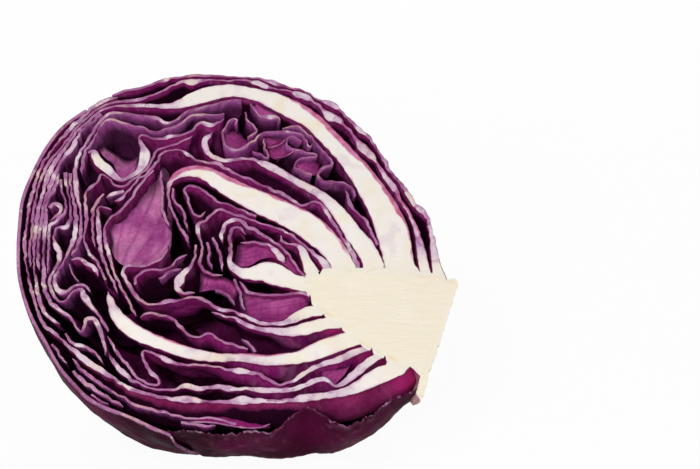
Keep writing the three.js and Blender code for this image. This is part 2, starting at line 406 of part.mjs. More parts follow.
// Pushes a point and a stretch of leaf apart until there is air between them. Thick ribs hold still.
function push(p, q, r) {
  if (Math.abs(p.a - q.a) + Math.abs(p.b - q.b) > 30) return;
  const { t, ex, ey, distance } = distanceToSegment(p, q, r);
  const thickness = q.t + t * (r.t - q.t);
  const wanted = (p.t + thickness) / 2 * 1.04 + LEAF_GAP;
  if (distance >= wanted || distance < 1e-6) return;
  const give = thickness * thickness / (p.t * p.t + thickness * thickness);
  const shift = (wanted - distance) / distance;
  p.a += ex * shift * give * p.free;
  p.b += ey * shift * give * p.free;
  for (const [end, share] of [[q, 1 - t], [r, t]]) {
    end.a -= ex * shift * (1 - give) * share * end.free;
    end.b -= ey * shift * (1 - give) * share * end.free;
  }
}

function keepApart(lines) {
  for (let round = 0; round < 90; round += 1) {
    for (const line of lines) {
      for (const other of lines) {
        for (let i = 0; i < line.length; i += 1) {
          for (let k = 0; k + 1 < other.length; k += 1) {
            if (line === other && Math.abs(i - k - 0.5) < 2.6) continue;
            push(line[i], other[k], other[k + 1]);
          }
        }
      }
    }
  }
}

// ---------------------------------------------------------------- solids

// A closed solid from a grid of outer points and a grid of inner points of the same size.
function shellGeometry(outer, inner) {
  const [rows, columns] = [outer.length, outer[0].length];
  const positions = [...outer.flat(), ...inner.flat()];
  const out = (i, k) => i * columns + k;
  const inn = (i, k) => rows * columns + i * columns + k;
  const faces = [];
  const quad = (p, q, r, s) => {
    faces.push([p, q, r], [p, r, s]);
  };
  for (let i = 0; i + 1 < rows; i += 1) {
    for (let k = 0; k + 1 < columns; k += 1) {
      quad(out(i, k), out(i, k + 1), out(i + 1, k + 1), out(i + 1, k));
      quad(inn(i, k), inn(i + 1, k), inn(i + 1, k + 1), inn(i, k + 1));
    }
    quad(out(i, 0), out(i + 1, 0), inn(i + 1, 0), inn(i, 0));
    quad(out(i + 1, columns - 1), out(i, columns - 1), inn(i, columns - 1), inn(i + 1, columns - 1));
  }
  for (let k = 0; k + 1 < columns; k += 1) {
    quad(out(0, k + 1), out(0, k), inn(0, k), inn(0, k + 1));
    quad(out(rows - 1, k), out(rows - 1, k + 1), inn(rows - 1, k + 1), inn(rows - 1, k));
  }
  return solidGeometry(positions, faces);
}

// Welds equal points, drops empty triangles and turns the solid's faces outwards.
function solidGeometry(points, faces) {
  const kept = new Map();
  const index = points.map((point) => {
    const key = point.toArray().map((value) => Math.round(value * 1e4)).join(",");
    if (!kept.has(key)) kept.set(key, { id: kept.size, point });
    return kept.get(key).id;
  });
  const vertices = [...kept.values()].map((entry) => entry.point);
  let triangles = faces.map((face) => face.map((corner) => index[corner]));
  triangles = triangles.filter(([p, q, r]) => p !== q && q !== r && r !== p);
  const volume = triangles.reduce((sum, [p, q, r]) => {
    return sum + vertices[p].dot(new THREE.Vector3().crossVectors(vertices[q], vertices[r]));
  }, 0);
  if (volume < 0) triangles = triangles.map(([p, q, r]) => [p, r, q]);
  const geometry = new THREE.BufferGeometry();
  geometry.setAttribute("position", new THREE.Float32BufferAttribute(vertices.flatMap((v) => v.toArray()), 3));
  geometry.setIndex(triangles.flat());
  return geometry;
}

// The two sides of a cut edge, half its thickness either side of the line.
function sidesOf(line, thicknessAt) {
  return line.map((point, i) => {
    const before = line[Math.max(0, i - 1)];
    const after = line[Math.min(line.length - 1, i + 1)];
    const first = Math.atan2(point.b - before.b, point.a - before.a);
    const last = Math.atan2(after.b - point.b, after.a - point.a);
    const [inward, onward] = [i === 0 ? last : first, i === line.length - 1 ? first : last];
    const turn = Math.atan2(Math.sin(onward - inward), Math.cos(onward - inward));
    const normal = inward + turn / 2 + Math.PI / 2;
    const half = thicknessAt(point) / 2 / Math.max(0.8, Math.cos(turn / 2));
    return [1, -1].map((side) => ({
      a: point.a + side * half * Math.cos(normal),
      b: point.b + side * half * Math.sin(normal),
    }));
  });
}

const CORE_OUTLINE = [
  ...CORE_STATIONS.map(([upper]) => upper),
  ...CORE_STATIONS.map(([, lower]) => lower).reverse(),
];

function insideCore(a, b) {
  let inside = false;
  CORE_OUTLINE.forEach(([pa, pb], i) => {
    const [qa, qb] = CORE_OUTLINE[(i + 1) % CORE_OUTLINE.length];
    if (pb > b !== qb > b && a < (qa - pa) * (b - pb) / (qb - pb) + pa) inside = !inside;
  });
  return inside;
}

function nearCore(a, b) {
  return CORE_OUTLINE.some(([pa, pb], i) => {
    const [qa, qb] = CORE_OUTLINE[(i + 1) % CORE_OUTLINE.length];
    return distanceToSegment({ a, b }, { a: pa, b: pb }, { a: qa, b: qb }).distance < LEAF_GAP + 0.06;
  });
}

// Draws the base end of one side of a leaf back along itself until it stands clear of the core.
function clearOfCore(side) {
  for (let i = Math.min(6, side.length - 2); i >= 0; i -= 1) {
    const [near, far] = [side[i], side[i + 1]];
    const steps = Math.ceil(Math.hypot(near.a - far.a, near.b - far.b) / 0.05);
    for (let step = 0; step <= steps; step += 1) {
      const t = step / steps;
      const point = { a: far.a + t * (near.a - far.a), b: far.b + t * (near.b - far.b) };
      if (!insideCore(point.a, point.b) && !nearCore(point.a, point.b)) continue;
      const back = Math.max(0, step - 1) / steps;
      const end = { a: far.a + back * (near.a - far.a), b: far.b + back * (near.b - far.b) };
      return side.map((own, k) => (k <= i ? end : own));
    }
  }
  return side;
}

function leafGeometry(name, line) {
  const standOut = SMOOTHED_LEAVES[name];
  const turns = SHORT_LEAVES.has(name) ? SHORT_TURNS : TURNS;
  const outer = [];
  const inner = [];
  turns.forEach((turn, row) => {
    const depth = 60 * Math.sin(turn * DEG);
    const cut = Math.exp(-((depth / RIB_REACH) ** 2));
    const blade = (point) => Math.min(point.t, 1.3 * BLADE);
    let pairs = sidesOf(line, (point) => blade(point) + (point.t - blade(point)) * cut);
    if (standOut !== undefined) pairs = pairs.map((pair) => roundOut(pair, row === 1 ? standOut : 0, turn));
    const [left, right] = [0, 1].map((side) => clearOfCore(pairs.map((pair) => pair[side])));
    outer.push(left.map((point) => place(...carry(point.a, point.b, turn))));
    inner.push(right.map((point) => place(...carry(point.a, point.b, turn))));
  });
  return shellGeometry(outer, inner);
}

// Lets the waves of an outer leaf run out behind the face.
function roundOut(pair, standOut, turn) {
  const fade = Math.min(1, turn / TURNS[1]);
  const outermost = Math.max(...pair.map((p) => Math.hypot(p.a, p.b) / headRadius(Math.atan2(p.b, p.a))));
  const bare = THREE.MathUtils.smoothstep(pair[0].a, ...BARE_FROM);
  const share = 1 + (standOut > 0 ? THREE.MathUtils.lerp(-TUCKED_IN, standOut, bare) : 0);
  const scale = 1 + (share - outermost) * fade;
  return pair.map((p) => ({ a: p.a * scale, b: p.b * scale }));
}

// The core: rings from the upper edge of the cut, round behind it, to the lower edge.
function coreGeometry() {
  const rings = CORE_STATIONS.map(([upper, lower]) => {
    const [ca, cb] = [(upper[0] + lower[0]) / 2, (upper[1] + lower[1]) / 2];
    const width = Math.hypot(upper[0] - lower[0], upper[1] - lower[1]);
    return Array.from({ length: CORE_SIDES + 1 }, (_, k) => {
      const angle = Math.PI * k / CORE_SIDES;
      const reach = Math.cos(angle);
      const depth = CORE_DEPTH * width * Math.sin(angle);
      return place(ca + (upper[0] - ca) * reach, cb + (upper[1] - cb) * reach, depth);
    });
  });
  const points = rings.flat();
  const size = CORE_SIDES + 1;
  const faces = [];
  for (let i = 0; i + 1 < rings.length; i += 1) {
    for (let k = 0; k < size; k += 1) {
      const next = (k + 1) % size;
      const [p, q] = [i * size + k, i * size + next];
      faces.push([p, q, q + size], [p, q + size, p + size]);
    }
  }
  for (let k = 1; k < CORE_SIDES; k += 1) {
    const end = (rings.length - 1) * size;
    faces.push([0, k + 1, k], [end, end + k, end + k + 1]);
  }
  return solidGeometry(points, faces);
}

// Share of the head's radius at which the wrapper's cut edge lies, in a direction on the face.
function wrapperShare(angle) {
  const turned = (angle / DEG + 360) % 360;
  const knots = WRAPPER_EDGE.map(([a, b]) => {
    const at = Math.atan2(b, a);
    return { at: (at / DEG + 360) % 360, share: Math.hypot(a, b) / headRadius(at) };
  });
  for (let k = 0; k + 1 < knots.length; k += 1) {
    const [p, q] = [knots[k], knots[k + 1]];
    const t = (turned - p.at) / (q.at - p.at);
    if (t >= 0 && t <= 1) return p.share + (q.share - p.share) * t;
  }
  return turned < knots[0].at ? knots[0].share : knots[knots.length - 1].share;
}

function marginAt(fromStump) {
  for (let k = 0; k + 1 < WRAPPER_MARGINS.length; k += 1) {
    const [p, q] = [WRAPPER_MARGINS[k], WRAPPER_MARGINS[k + 1]];
    if (fromStump <= q[0]) {
      const t = (fromStump - p[0]) / (q[0] - p[0]);
      return [p[1] + t * (q[1] - p[1]), p[2] + t * (q[2] - p[2])];
    }
  }
  return [0, 180];
}

// The outer wrapper leaf lies on a net of angles from the stump and round the stem axis.
function wrapperGeometry() {
  const [axisA, axisB] = [Math.cos(STEM_ANGLE * DEG), Math.sin(STEM_ANGLE * DEG)];
  const sheet = (inwards) => WRAPPER_ROWS.map((fromStump) => {
    const [low, high] = marginAt(fromStump);
    return Array.from({ length: WRAPPER_COLUMNS }, (_, k) => {
      const round = (low + (high - low) * k / (WRAPPER_COLUMNS - 1)) * DEG;
      const [along, out] = [Math.cos(fromStump * DEG), Math.sin(fromStump * DEG)];
      const a = along * axisA - out * Math.cos(round) * axisB;
      const b = along * axisB + out * Math.cos(round) * axisA;
      const back = out * Math.sin(round);
      const angle = Math.atan2(b, a);
      const atFace = Math.exp(-((back / 0.22) ** 2));
      const share = WRAPPER_SHARE + (wrapperShare(angle) - WRAPPER_SHARE) * atFace - inwards / HEAD_DEPTH;
      const radius = headRadius(angle) * share;
      return place(a * radius, b * radius, back * HEAD_DEPTH * share);
    });
  });
  return shellGeometry(sheet(-WRAPPER_THICKNESS / 2), sheet(WRAPPER_THICKNESS / 2));
}

// ---------------------------------------------------------------- the assembly

function makeMesh(name, geometry, colour, roughness) {
  const material = new THREE.MeshStandardMaterial({ color: colour, roughness, metalness: 0 });
  const mesh = new THREE.Mesh(geometry, material);
  mesh.name = name;
  return mesh;
}

function makeLines() {
  const lines = {};
  for (const [name, points] of Object.entries(LEAVES)) {
    lines[name] = points.map(([a, b, t = BLADE]) => ({ a, b, t, free: insideCore(a, b) ? 0 : 1 }));
  }
  const fixed = WRAPPER_EDGE.map(([a, b]) => ({ a, b, t: WRAPPER_THICKNESS, free: 0 }));
  keepApart([...Object.values(lines), fixed]);
  return lines;
}

const cabbage = new THREE.Group();
cabbage.add(makeMesh("core", coreGeometry(), COLOURS.core, 0.6));
cabbage.add(makeMesh("outer_wrapper_leaf", wrapperGeometry(), COLOURS.wrapper, 0.5));
for (const [name, line] of Object.entries(makeLines())) {
  const kind = ["wrapper", "rib"].find((word) => name.includes(word)) ?? "blade";
  cabbage.add(makeMesh(name, leafGeometry(name, line), COLOURS[kind], 0.5));
}

// The origin goes on the ground under the middle of the bounding box.
const middle = new THREE.Box3().setFromObject(cabbage).getCenter(new THREE.Vector3());
for (const mesh of cabbage.children) mesh.geometry.translate(-middle.x, -middle.y, 0);

export default cabbage;
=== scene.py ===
"""Half of a red cabbage, cut lengthwise through its core and lying on its rounded back.

The shapes are worked out in millimetres on the cut face: a runs to the right, b runs up the face and
depth runs back into the head. Head turns that into the part's own frame, in metres.
"""

from __future__ import annotations

import logging
import math
from dataclasses import dataclass, field
from enum import Enum
from typing import Callable, Sequence

import bmesh
import bpy
import numpy as np
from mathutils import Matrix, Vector, kdtree

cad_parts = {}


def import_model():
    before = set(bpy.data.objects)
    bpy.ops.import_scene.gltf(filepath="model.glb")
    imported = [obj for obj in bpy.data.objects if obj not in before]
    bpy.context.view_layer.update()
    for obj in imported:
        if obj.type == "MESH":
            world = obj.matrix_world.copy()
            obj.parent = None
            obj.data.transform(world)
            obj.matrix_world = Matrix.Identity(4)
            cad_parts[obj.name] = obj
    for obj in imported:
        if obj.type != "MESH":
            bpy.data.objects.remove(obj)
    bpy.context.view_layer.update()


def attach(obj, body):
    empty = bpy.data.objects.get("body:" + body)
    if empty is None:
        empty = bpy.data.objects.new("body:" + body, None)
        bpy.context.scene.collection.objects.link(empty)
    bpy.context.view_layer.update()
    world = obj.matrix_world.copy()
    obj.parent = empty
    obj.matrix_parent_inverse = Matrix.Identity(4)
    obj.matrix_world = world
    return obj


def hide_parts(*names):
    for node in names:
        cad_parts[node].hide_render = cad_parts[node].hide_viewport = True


LOG = logging.getLogger("red_cabbage")
MM = 0.001
WHITE = "ffffff"

# Depth of a leaf in the middle of the head where it has gone a quarter round, in millimetres.
INNER_DEPTH = 60.0

Point = tuple[float, ...]
Line = tuple[Point, ...]
Array = np.ndarray
Shaped = tuple[Array, dict[str, "Array | float"]]
Socket = bpy.types.NodeSocket
Material = bpy.types.Material


class Side(Enum):
    """The side of a leaf that shows on the outside of the head."""

    LEFT = 0
    RIGHT = 1


class Reach(Enum):
    """How far round the head a leaf is carried, in degrees."""

    FULL = 76.0
    SHORT = 43.0
    STRIP = 8.8


# Cut edges of the leaves on the face: a, b and the thickness where it isn't the blade's, from the core to
# the free end.
LEAVES: dict[str, Line] = {
    "upper_wrapper_leaf": (
        (78.3, -14, 3.4), (77.2, -9, 3.4), (76.2, -3, 2.7), (75.2, 6, 1.7), (73.9, 13.4, 1.6),
        (71.6, 16.4, 2.6), (69.2, 18.8, 1.6), (67.2, 22.4, 1.9), (62.6, 30, 1.1), (59.7, 34, 1.2),
        (58.4, 37.6, 1.9), (55.8, 42, 1.1), (51.4, 49.6, 1.7), (49, 51.4, 2), (41.5, 60.4, 1.1),
        (39, 63, 2.5), (36.2, 64.4, 2.4), (32.6, 66, 1), (27, 69.8), (20, 71.7), (15.4, 73.5, 2),
        (11, 75.1, 1.4), (0, 76.4), (-10, 76.8), (-19, 76.8), (-23.5, 76), (-27, 74.8, 2), (-31, 73.2, 1.1),
        (-35.5, 71.3), (-39.5, 70.3), (-43.4, 69.2), (-47, 67.6),
    ),
    "second_leaf": (
        (73, -14, 3.8), (71.8, -4, 3.6), (70, 6, 2.2), (67.2, 14.5, 1.6), (63.3, 22, 1.2), (61, 27, 2.5),
        (58, 31.5, 2.1), (55, 37.3, 1.4), (52.4, 41, 3.4), (49.6, 44, 3.8), (47, 48, 1.6), (43, 54, 1.2),
        (40, 57, 3), (37.3, 58, 4.4), (34.4, 61.2, 1.7), (30.6, 65, 1.3), (27.8, 67, 3), (25, 68, 3.3),
        (21.5, 69.8), (15, 71.2), (11.5, 72.4, 2.6), (8.8, 73.7, 2.2), (3, 74.5, 1.1), (-10, 74.8),
        (-13.4, 74.6, 1.8), (-16.5, 73.9, 3.2), (-20, 74.3, 1.2), (-24.4, 72), (-31.5, 67.6),
        (-36.8, 65.8, 1.7), (-45, 64.6), (-51, 62.7), (-56, 58.6), (-60.2, 52.4), (-65, 44.7), (-69.4, 38),
        (-72, 31, 1.1), (-73.6, 22), (-74.3, 10), (-74.7, 0), (-74, -8),
    ),
    "great_rib_leaf": (
        (63.8, -14, 11.4), (63, -5, 11.6), (61.9, 1, 12), (60.4, 8, 12.2), (57.6, 16, 11.6), (53.8, 24, 10.6),
        (49, 32, 9.2), (43.4, 40.3, 7.8), (36.6, 48.8, 7.5), (30.3, 56, 7.8), (23.3, 61, 8.3),
        (16.3, 64.9, 7.6), (10, 67.6, 5.8), (4, 69.3, 5.8), (-1, 70, 6.1), (-6, 69.4, 6.3), (-11, 68, 6.7),
        (-16, 65.9, 5.9), (-20, 64.1, 4.6), (-24.5, 63, 3), (-32, 63, 1.8), (-46, 62.8), (-51, 60.7),
        (-56.4, 56), (-60.3, 50.6), (-63.6, 44.5), (-67, 38.4, 1.5), (-69.6, 31.5, 2.2), (-71.2, 24.5, 1.4),
        (-72.4, 14), (-73, 4), (-72.9, -5), (-71.2, -16), (-68.8, -25), (-65.6, -29.6), (-61.8, -32.2),
    ),
    "lower_sheath_leaf": (
        (63.5, -47, 5.5), (60, -51.3, 6.6), (56, -53.2, 7.4), (52, -55.3, 6.4), (48, -57.6, 4.8),
        (43, -59.9, 3.4), (36, -61.4, 2.7), (31, -62.1, 3.4), (27.5, -62.6, 3.8), (23.5, -63.4, 1.7),
        (16, -63.7, 1.4), (10, -63.6, 2.4), (5.5, -63.3, 4), (1, -63.9, 1.7), (-7, -64), (-12, -63.2, 2.7),
        (-15.5, -62.9, 3), (-20, -62.6, 1.5), (-28, -60.8, 1.2), (-34, -59, 1.6), (-40, -55.3, 1.3),
        (-46, -50.9, 2.5), (-50, -48.2, 2.6), (-55.3, -43.8, 1.4), (-60.6, -38.8, 1.4), (-64, -35.6, 1.8),
        (-67.4, -32.6, 1.2), (-70.4, -26), (-72.8, -18.5), (-75.3, -9), (-76.6, 0), (-76.4, 11), (-75.6, 20),
        (-74.4, 29, 1.3), (-71.6, 37.4), (-67.2, 45.6), (-62.5, 52.5), (-57.3, 59.4, 1.2), (-52.5, 63.4, 1.5),
        (-47.8, 66, 1.3), (-44.8, 67, 1.1),
    ),
    "lower_wrapper_leaf": (
        (70, -58.8, 1), (66.5, -60.2, 0.8), (62, -62, 0.8), (57.4, -65, 0.8), (52.7, -69, 0.7),
        (48.4, -71.7, 0.7), (43, -73.7, 0.7), (40, -72.6, 0.7), (37.6, -71.2, 0.7), (33.2, -68.2, 0.7),
        (29.6, -66.3, 0.7), (26.4, -67.6, 0.7), (23, -70.4, 0.8), (20.2, -73.4, 0.7), (16, -76.1, 0.7),
        (11, -75.8, 0.7), (7, -76.1, 0.7), (1, -77.3, 0.7), (-7.3, -76.3, 0.7), (-12.7, -75.6, 0.7),
        (-16.3, -75.7, 0.7), (-21.5, -76.3, 0.7),
    ),
    "crown_leaf_1": (
        (-50.9, 59.5), (-53.6, 56.3), (-57.5, 52.7), (-59.3, 48.4, 1.2), (-61, 44, 2.2), (-63.8, 40, 1.9),
        (-66.4, 34.5, 1.4), (-68.4, 27.4, 1.3), (-70, 21.5), (-71.2, 13), (-71.6, 4), (-71.6, -4),
        (-70.8, -9),
    ),
    "crown_leaf_2": (
        (3, 65.6), (-1, 65.8), (-6, 63.9), (-12, 62.2, 1.3), (-17.9, 60.3), (-21.5, 56.9), (-25, 55.1, 1.3),
        (-28.6, 57.1, 1.7), (-35, 58.4), (-42, 59.6), (-47.4, 59.4), (-50.8, 56), (-53.9, 50.6),
        (-56.4, 45.3), (-58.7, 40, 1.2), (-59.4, 34, 1.3), (-58.9, 28, 1.8), (-57.8, 21, 1.3), (-56.4, 14),
        (-56.2, 6), (-57.2, 0.5), (-58.8, -3.4),
    ),
    "crown_leaf_3": (
        (-3.6, 59.4), (-7.6, 58.5), (-12.6, 59.1, 1.3), (-16.6, 58.7), (-19.7, 55.1), (-25, 52.6),
        (-29.5, 51.3), (-34, 52.8), (-39.7, 54.5), (-44, 56), (-47.2, 57.3), (-50.2, 54.6), (-52.4, 50.4),
        (-54, 46, 1.3), (-56.2, 42), (-56.7, 36), (-57.2, 32.6),
    ),
    "pocket_leaf_1": (
        (-55, 42), (-53.2, 42.6, 1.4), (-51.9, 39.8, 3), (-50.4, 37.2, 4), (-47.6, 34.8, 4.2),
        (-44.8, 31.7, 3), (-42.2, 29.7, 1.7), (-38.5, 30.9, 1.6), (-35.3, 33.9, 2.4), (-33.8, 37.4, 4),
        (-33.3, 41.2, 4.4), (-34.2, 45, 2), (-35.9, 48.2, 1.1), (-34.9, 49.6), (-31.5, 48.6),
        (-27, 48.3, 1.3), (-23.8, 49, 1.9), (-19.5, 49.9), (-15.8, 51.8), (-13.8, 54.4), (-11.5, 55.4, 1.6),
        (-8.8, 54.1, 2.3), (-6.2, 55, 1.4), (-3.4, 57.2),
    ),
    "pocket_leaf_2": (
        (-45.8, -13.6), (-48.6, -7.5), (-52.4, -1.9), (-54.6, 3), (-54.2, 11.6), (-55, 20.5),
        (-54.8, 25.4, 1.2), (-52.6, 27, 1.4), (-50.7, 29), (-49.6, 32.6, 1.2), (-46.8, 31), (-44, 27.3),
        (-41, 26.7), (-37.4, 29.6), (-33.6, 33.5), (-30.4, 39.4), (-28.4, 43), (-23.2, 45), (-19, 47.3),
        (-15.5, 49.2),
    ),
    "middle_leaf": (
        (47.5, -12, 1.6), (45.6, -5.6, 1.7), (43.5, 0, 1.8), (41.8, 4.4, 1.1), (40, 8.8, 1.4),
        (37.4, 12.8, 1.5), (36.2, 16, 1.7), (33.9, 19.3, 1.2), (31.2, 20.3), (29, 19.2), (27.1, 18.6),
        (24, 20.2, 1.2), (19.5, 23.4, 1.5), (16.6, 24.8, 1.5), (12.6, 26.8), (9, 29, 1.3), (6.6, 30.1, 1.3),
        (2, 32.2), (-2, 34.5, 1.3), (-5.7, 36.9, 1.7), (-10, 37.5), (-14.5, 38.8), (-17, 41, 1.9),
        (-19.4, 42.8), (-24, 42.8), (-27, 41.4), (-28.7, 37.6), (-31.6, 33.4), (-36.2, 28.8),
        (-39.3, 24.4, 1.2), (-41.5, 21.6, 1.7), (-44, 20.4, 1.2),
    ),
    "pocket_leaf_3": (
        (-48.2, 23.6), (-50.2, 20.4), (-51.9, 17), (-52, 11.5), (-51.4, 5.5), (-50.6, 0.5),
    ),
    "pocket_leaf_4": (
        (-45, 16.6), (-47.4, 17.8), (-49.6, 18), (-50, 14.6), (-49.3, 8.6, 1.2), (-48.6, 2, 1.2),
        (-47.4, -3.8, 1.1), (-45.4, -9.4), (-43, -14.4), (-41, -19),
    ),
    "pocket_leaf_5": (
        (-29.7, 34), (-32.1, 30.8), (-35.3, 26.2, 1.4), (-38.8, 19.8), (-42.6, 15), (-45.8, 12.2), (-47.3, 8),
        (-46.6, 3), (-45, -2.7, 1.4), (-43.2, -9), (-40.4, -16), (-36.8, -22.5), (-34, -28.8),
    ),
    "pocket_leaf_6": (
        (-58.9, -5), (-56.5, -4.5, 1.5), (-53, -6.6, 1.5), (-50.4, -8.1, 1.3), (-48.8, -12),
    ),
    "fold_leaf_1": (
        (-68.2, 17.4), (-67, 19, 1.2), (-64.7, 18.7, 1.7), (-63.9, 16, 1.8), (-65.6, 13.6, 1.7),
        (-67.9, 11.8),
    ),
    "fold_leaf_2": (
        (-66.2, 32.6), (-66.8, 27), (-68.6, 22.3), (-69.8, 17), (-69.6, 10.4), (-69.6, 4), (-69.5, -2, 1.3),
        (-69, -8, 1.2), (-68.5, -16), (-66.2, -22.2), (-61.5, -26.8, 1.2), (-57.6, -29.6, 1.7),
        (-55.5, -33.8, 1.5), (-53.6, -35.2), (-52.6, -32.6), (-51.6, -29.7), (-49.5, -29.8, 1.3),
        (-47.4, -33.6, 1.9), (-45.3, -39.2, 1.5), (-44.4, -44.6),
    ),
    "fold_leaf_3": (
        (-64.9, 30), (-64, 25), (-62.3, 19), (-62.6, 15), (-65, 12.2), (-67.9, 9.4), (-67.7, 3), (-67.6, -4),
        (-67.5, -10.6),
    ),
    "fold_leaf_4": (
        (-63.2, 33), (-62.3, 26), (-60.9, 20), (-60.2, 13), (-61.6, 9.2, 1.8), (-65.2, 8.8), (-66.1, 4),
        (-64.6, 0.4, 1.9), (-63.3, -3.4, 1.5), (-64.4, -8), (-66.1, -12), (-66.1, -16), (-64.8, -20),
        (-62, -22.6), (-59.8, -21.8), (-57.4, -18.3), (-54.6, -17.8), (-53.4, -20.4, 1.7),
        (-50.6, -24.6, 1.3), (-46.6, -30), (-43.9, -35.2),
    ),
    "fold_leaf_5": (
        (-61.2, 32.6), (-61, 27), (-59.1, 20), (-58.1, 12, 1.2), (-58.4, 4.5, 1.2), (-60.2, -1.4),
        (-61.4, -5), (-63.2, -8.8), (-64.4, -12.4), (-64.1, -16.2), (-62, -18.8, 1.6), (-59.6, -18.2),
        (-56.8, -15.7), (-53.8, -15.6), (-51.2, -18.4),
    ),
    "broad_leaf": (
        (36, -24.4, 3), (33, -26.5, 3.6), (30, -27, 4.6), (27, -28.3, 4.5), (24, -29.9, 3.7),
        (20.5, -31.6, 2.1), (16, -32.1, 1.4), (12.5, -31.8, 1.7), (9, -30.7, 1.7), (6, -28.9, 1.7),
        (2.4, -27.1), (-2.4, -26.3, 1.7), (-5.6, -24.5), (-9.5, -21.5, 1.3), (-13, -21), (-18, -22.2),
        (-22.6, -22.8, 2.3), (-26, -23.8), (-30, -23.7), (-33.2, -21.4, 1.2), (-37, -15.8, 1.2),
        (-39.4, -10.6, 1.6), (-38.8, -7.8, 1.8), (-35, -7.8, 1.3), (-30.6, -7.4), (-26.6, -5.4), (-24, -2),
        (-23.2, 1.4),
    ),
    "inner_fold_leaf": (
        (-34.8, -15.6), (-34.2, -11.8), (-32, -10.2), (-29, -9.4), (-25, -9.1), (-22.2, -8.2), (-19.5, -4.8),
        (-16, -2.8),
    ),
    "inner_rib_leaf": (
        (-12.8, 1.4), (-13.2, -3.4), (-14.2, -7.6, 1.4), (-16.8, -10.6, 2.6), (-18.4, -14, 4),
        (-19, -17.4, 1.9), (-16.8, -19.5, 1.2), (-12.6, -18.8),
    ),
    "third_rib_leaf": (
        (43.6, -13, 8), (40.6, -4, 8.8), (36.8, 1.8, 9.6), (31.9, 6.9, 11), (26.3, 11.5, 10.8),
        (20.2, 15, 10.2), (14, 18.2, 10.2), (7.4, 21.8, 9.6), (0.8, 25.6, 8.5), (-4.8, 29.3, 7.3),
        (-9, 32, 6.3), (-13, 33.3, 5.6), (-17.5, 33.3, 4.6), (-21, 31.8, 3.3), (-23.4, 28.6, 1.9),
        (-23.9, 24), (-23.5, 20), (-21.8, 15.8), (-19.6, 10.8), (-17.4, 6, 1.3), (-15.2, 2.2, 1.2),
    ),
    "void_leaf_1": (
        (-22, 26), (-21.8, 21.2), (-19.8, 18.6), (-18, 15.6), (-17, 11.4), (-16, 8.2),
    ),
    "void_leaf_2": (
        (9.6, 13.7), (6, 15.3), (2, 17.4), (-1, 18.7), (-4.5, 19.8), (-9, 23.8), (-12.6, 26.3), (-16.4, 27.1),
        (-17.7, 25.4), (-16.4, 21.6), (-15.3, 17.5), (-13.2, 13.9, 1.1), (-11.6, 13.6), (-9.6, 15.7),
    ),
    "void_leaf_3": (
        (37.6, -10.4, 2.4), (34.6, -5.6, 2.6), (31.8, -3, 1.5), (28.3, 0.6), (24, 4.7), (20.3, 7.2),
        (15.5, 9.2), (9, 11.6), (4, 13.7, 1.3), (0, 15), (-3.6, 16.8), (-6.6, 15.2), (-9.2, 12),
        (-12, 10.4, 1.7), (-12.2, 7.6, 2.2), (-10.9, 3.4), (-10.3, -2), (-11, -6), (-9.8, -9.4),
        (-6.5, -11.1), (-2.6, -11.8),
    ),
    "heart_rib_leaf": (
        (31.2, -12, 3.6), (29.6, -8, 3.7), (28.1, -4, 3.3), (26.9, -0.4, 2.7), (24.8, 1.3, 1.3), (21.4, 1.6),
        (19.3, 3.4, 1.2), (18.9, 5.4, 1.3),
    ),
    "heart_cover_leaf": (
        (29.2, -14, 1), (26.2, -9.6), (23.6, -5.8, 1.1), (21.2, -2, 1.1), (18, 1.4, 1.1), (13, 5, 1.3),
        (10, 7.2, 1.4), (6.6, 9.4, 1.4), (3.6, 11.7, 1.5), (0.8, 12.2, 1.7), (-1.5, 10.6, 1.9),
        (-2.6, 8, 1.8), (-3.3, 5, 1.9), (-2.8, 2.6, 1.2),
    ),
    "heart_leaf_1": (
        (20.4, -6.2, 1.5), (18.9, -3.8, 2.3), (17, -1.3, 2.4), (14.6, 0.8, 1.2), (10, 2.3), (4, 2),
    ),
    "heart_leaf_2": (
        (31, -15.6, 4.6), (27, -15.2, 5.2), (23.5, -14.2, 6.4), (20.5, -12.8, 8), (17, -11.2, 9.4),
        (13.5, -10.2, 9), (10, -10.7, 6.6), (6.5, -11, 5.2), (3.2, -9.8, 4.1), (1, -7.9, 3.2),
        (-0.2, -5.4, 2.1), (0.3, -2.2, 1.4), (0.3, 1.4, 1.2), (-0.1, 5, 1.2), (0.8, 8.2, 1.1), (2.6, 9.2),
        (4.3, 8), (5.8, 5.6),
    ),
    "fan_leaf": (
        (32, -20.4, 1.6), (27, -19.2, 1.5), (23, -19.4, 1.2), (17, -19.9, 1.1), (11, -19.8), (7.4, -19, 1.3),
        (5.4, -16.6, 1.1), (4, -14.2),
    ),
    "lower_leaf_1": (
        (42, -30, 4.6), (37.4, -31.6, 5), (32.8, -32.9, 5.4), (28, -34.2, 5.4), (24, -35.1, 4.4),
        (20, -35.3, 3.4), (15.5, -34.6, 2.3), (11.5, -34, 1.6), (8, -33.1, 2), (5, -31.5, 2.1),
        (2.6, -29.6, 1.3), (-1.5, -28.6), (-6, -27),
    ),
    "lower_leaf_2": (
        (7.4, -42.6), (4, -41.4), (0, -40.1), (-3.2, -38.5), (-7.1, -36.1), (-10, -37.6, 1.1),
        (-13.4, -36.8, 1.1), (-17.4, -33.4, 1.4), (-20.5, -29.9), (-25, -28.4), (-29.8, -27.7),
        (-32.4, -29.4),
    ),
    "lower_rib_leaf": (
        (50, -34.4, 6), (45.4, -37.9, 6.6), (41.5, -39.6, 7), (37.5, -41.2, 7.4), (33.5, -42.9, 7.4),
        (29.6, -44.7, 6.8), (25.5, -46.1, 5.3), (20, -46.6, 4.9), (14.5, -47, 4.4), (9, -46.4, 4.1),
        (3.5, -46, 3.6), (-3, -46, 4.1), (-9, -45.2, 4.5), (-15, -43.7, 4.7), (-21, -41.5, 5.2),
        (-27.5, -38.8, 5.7), (-33, -36, 6.2), (-37.5, -32.6, 5.8), (-41, -28.4, 4.6), (-43.2, -23.4, 2.9),
        (-44.7, -18.6, 1.3),
    ),
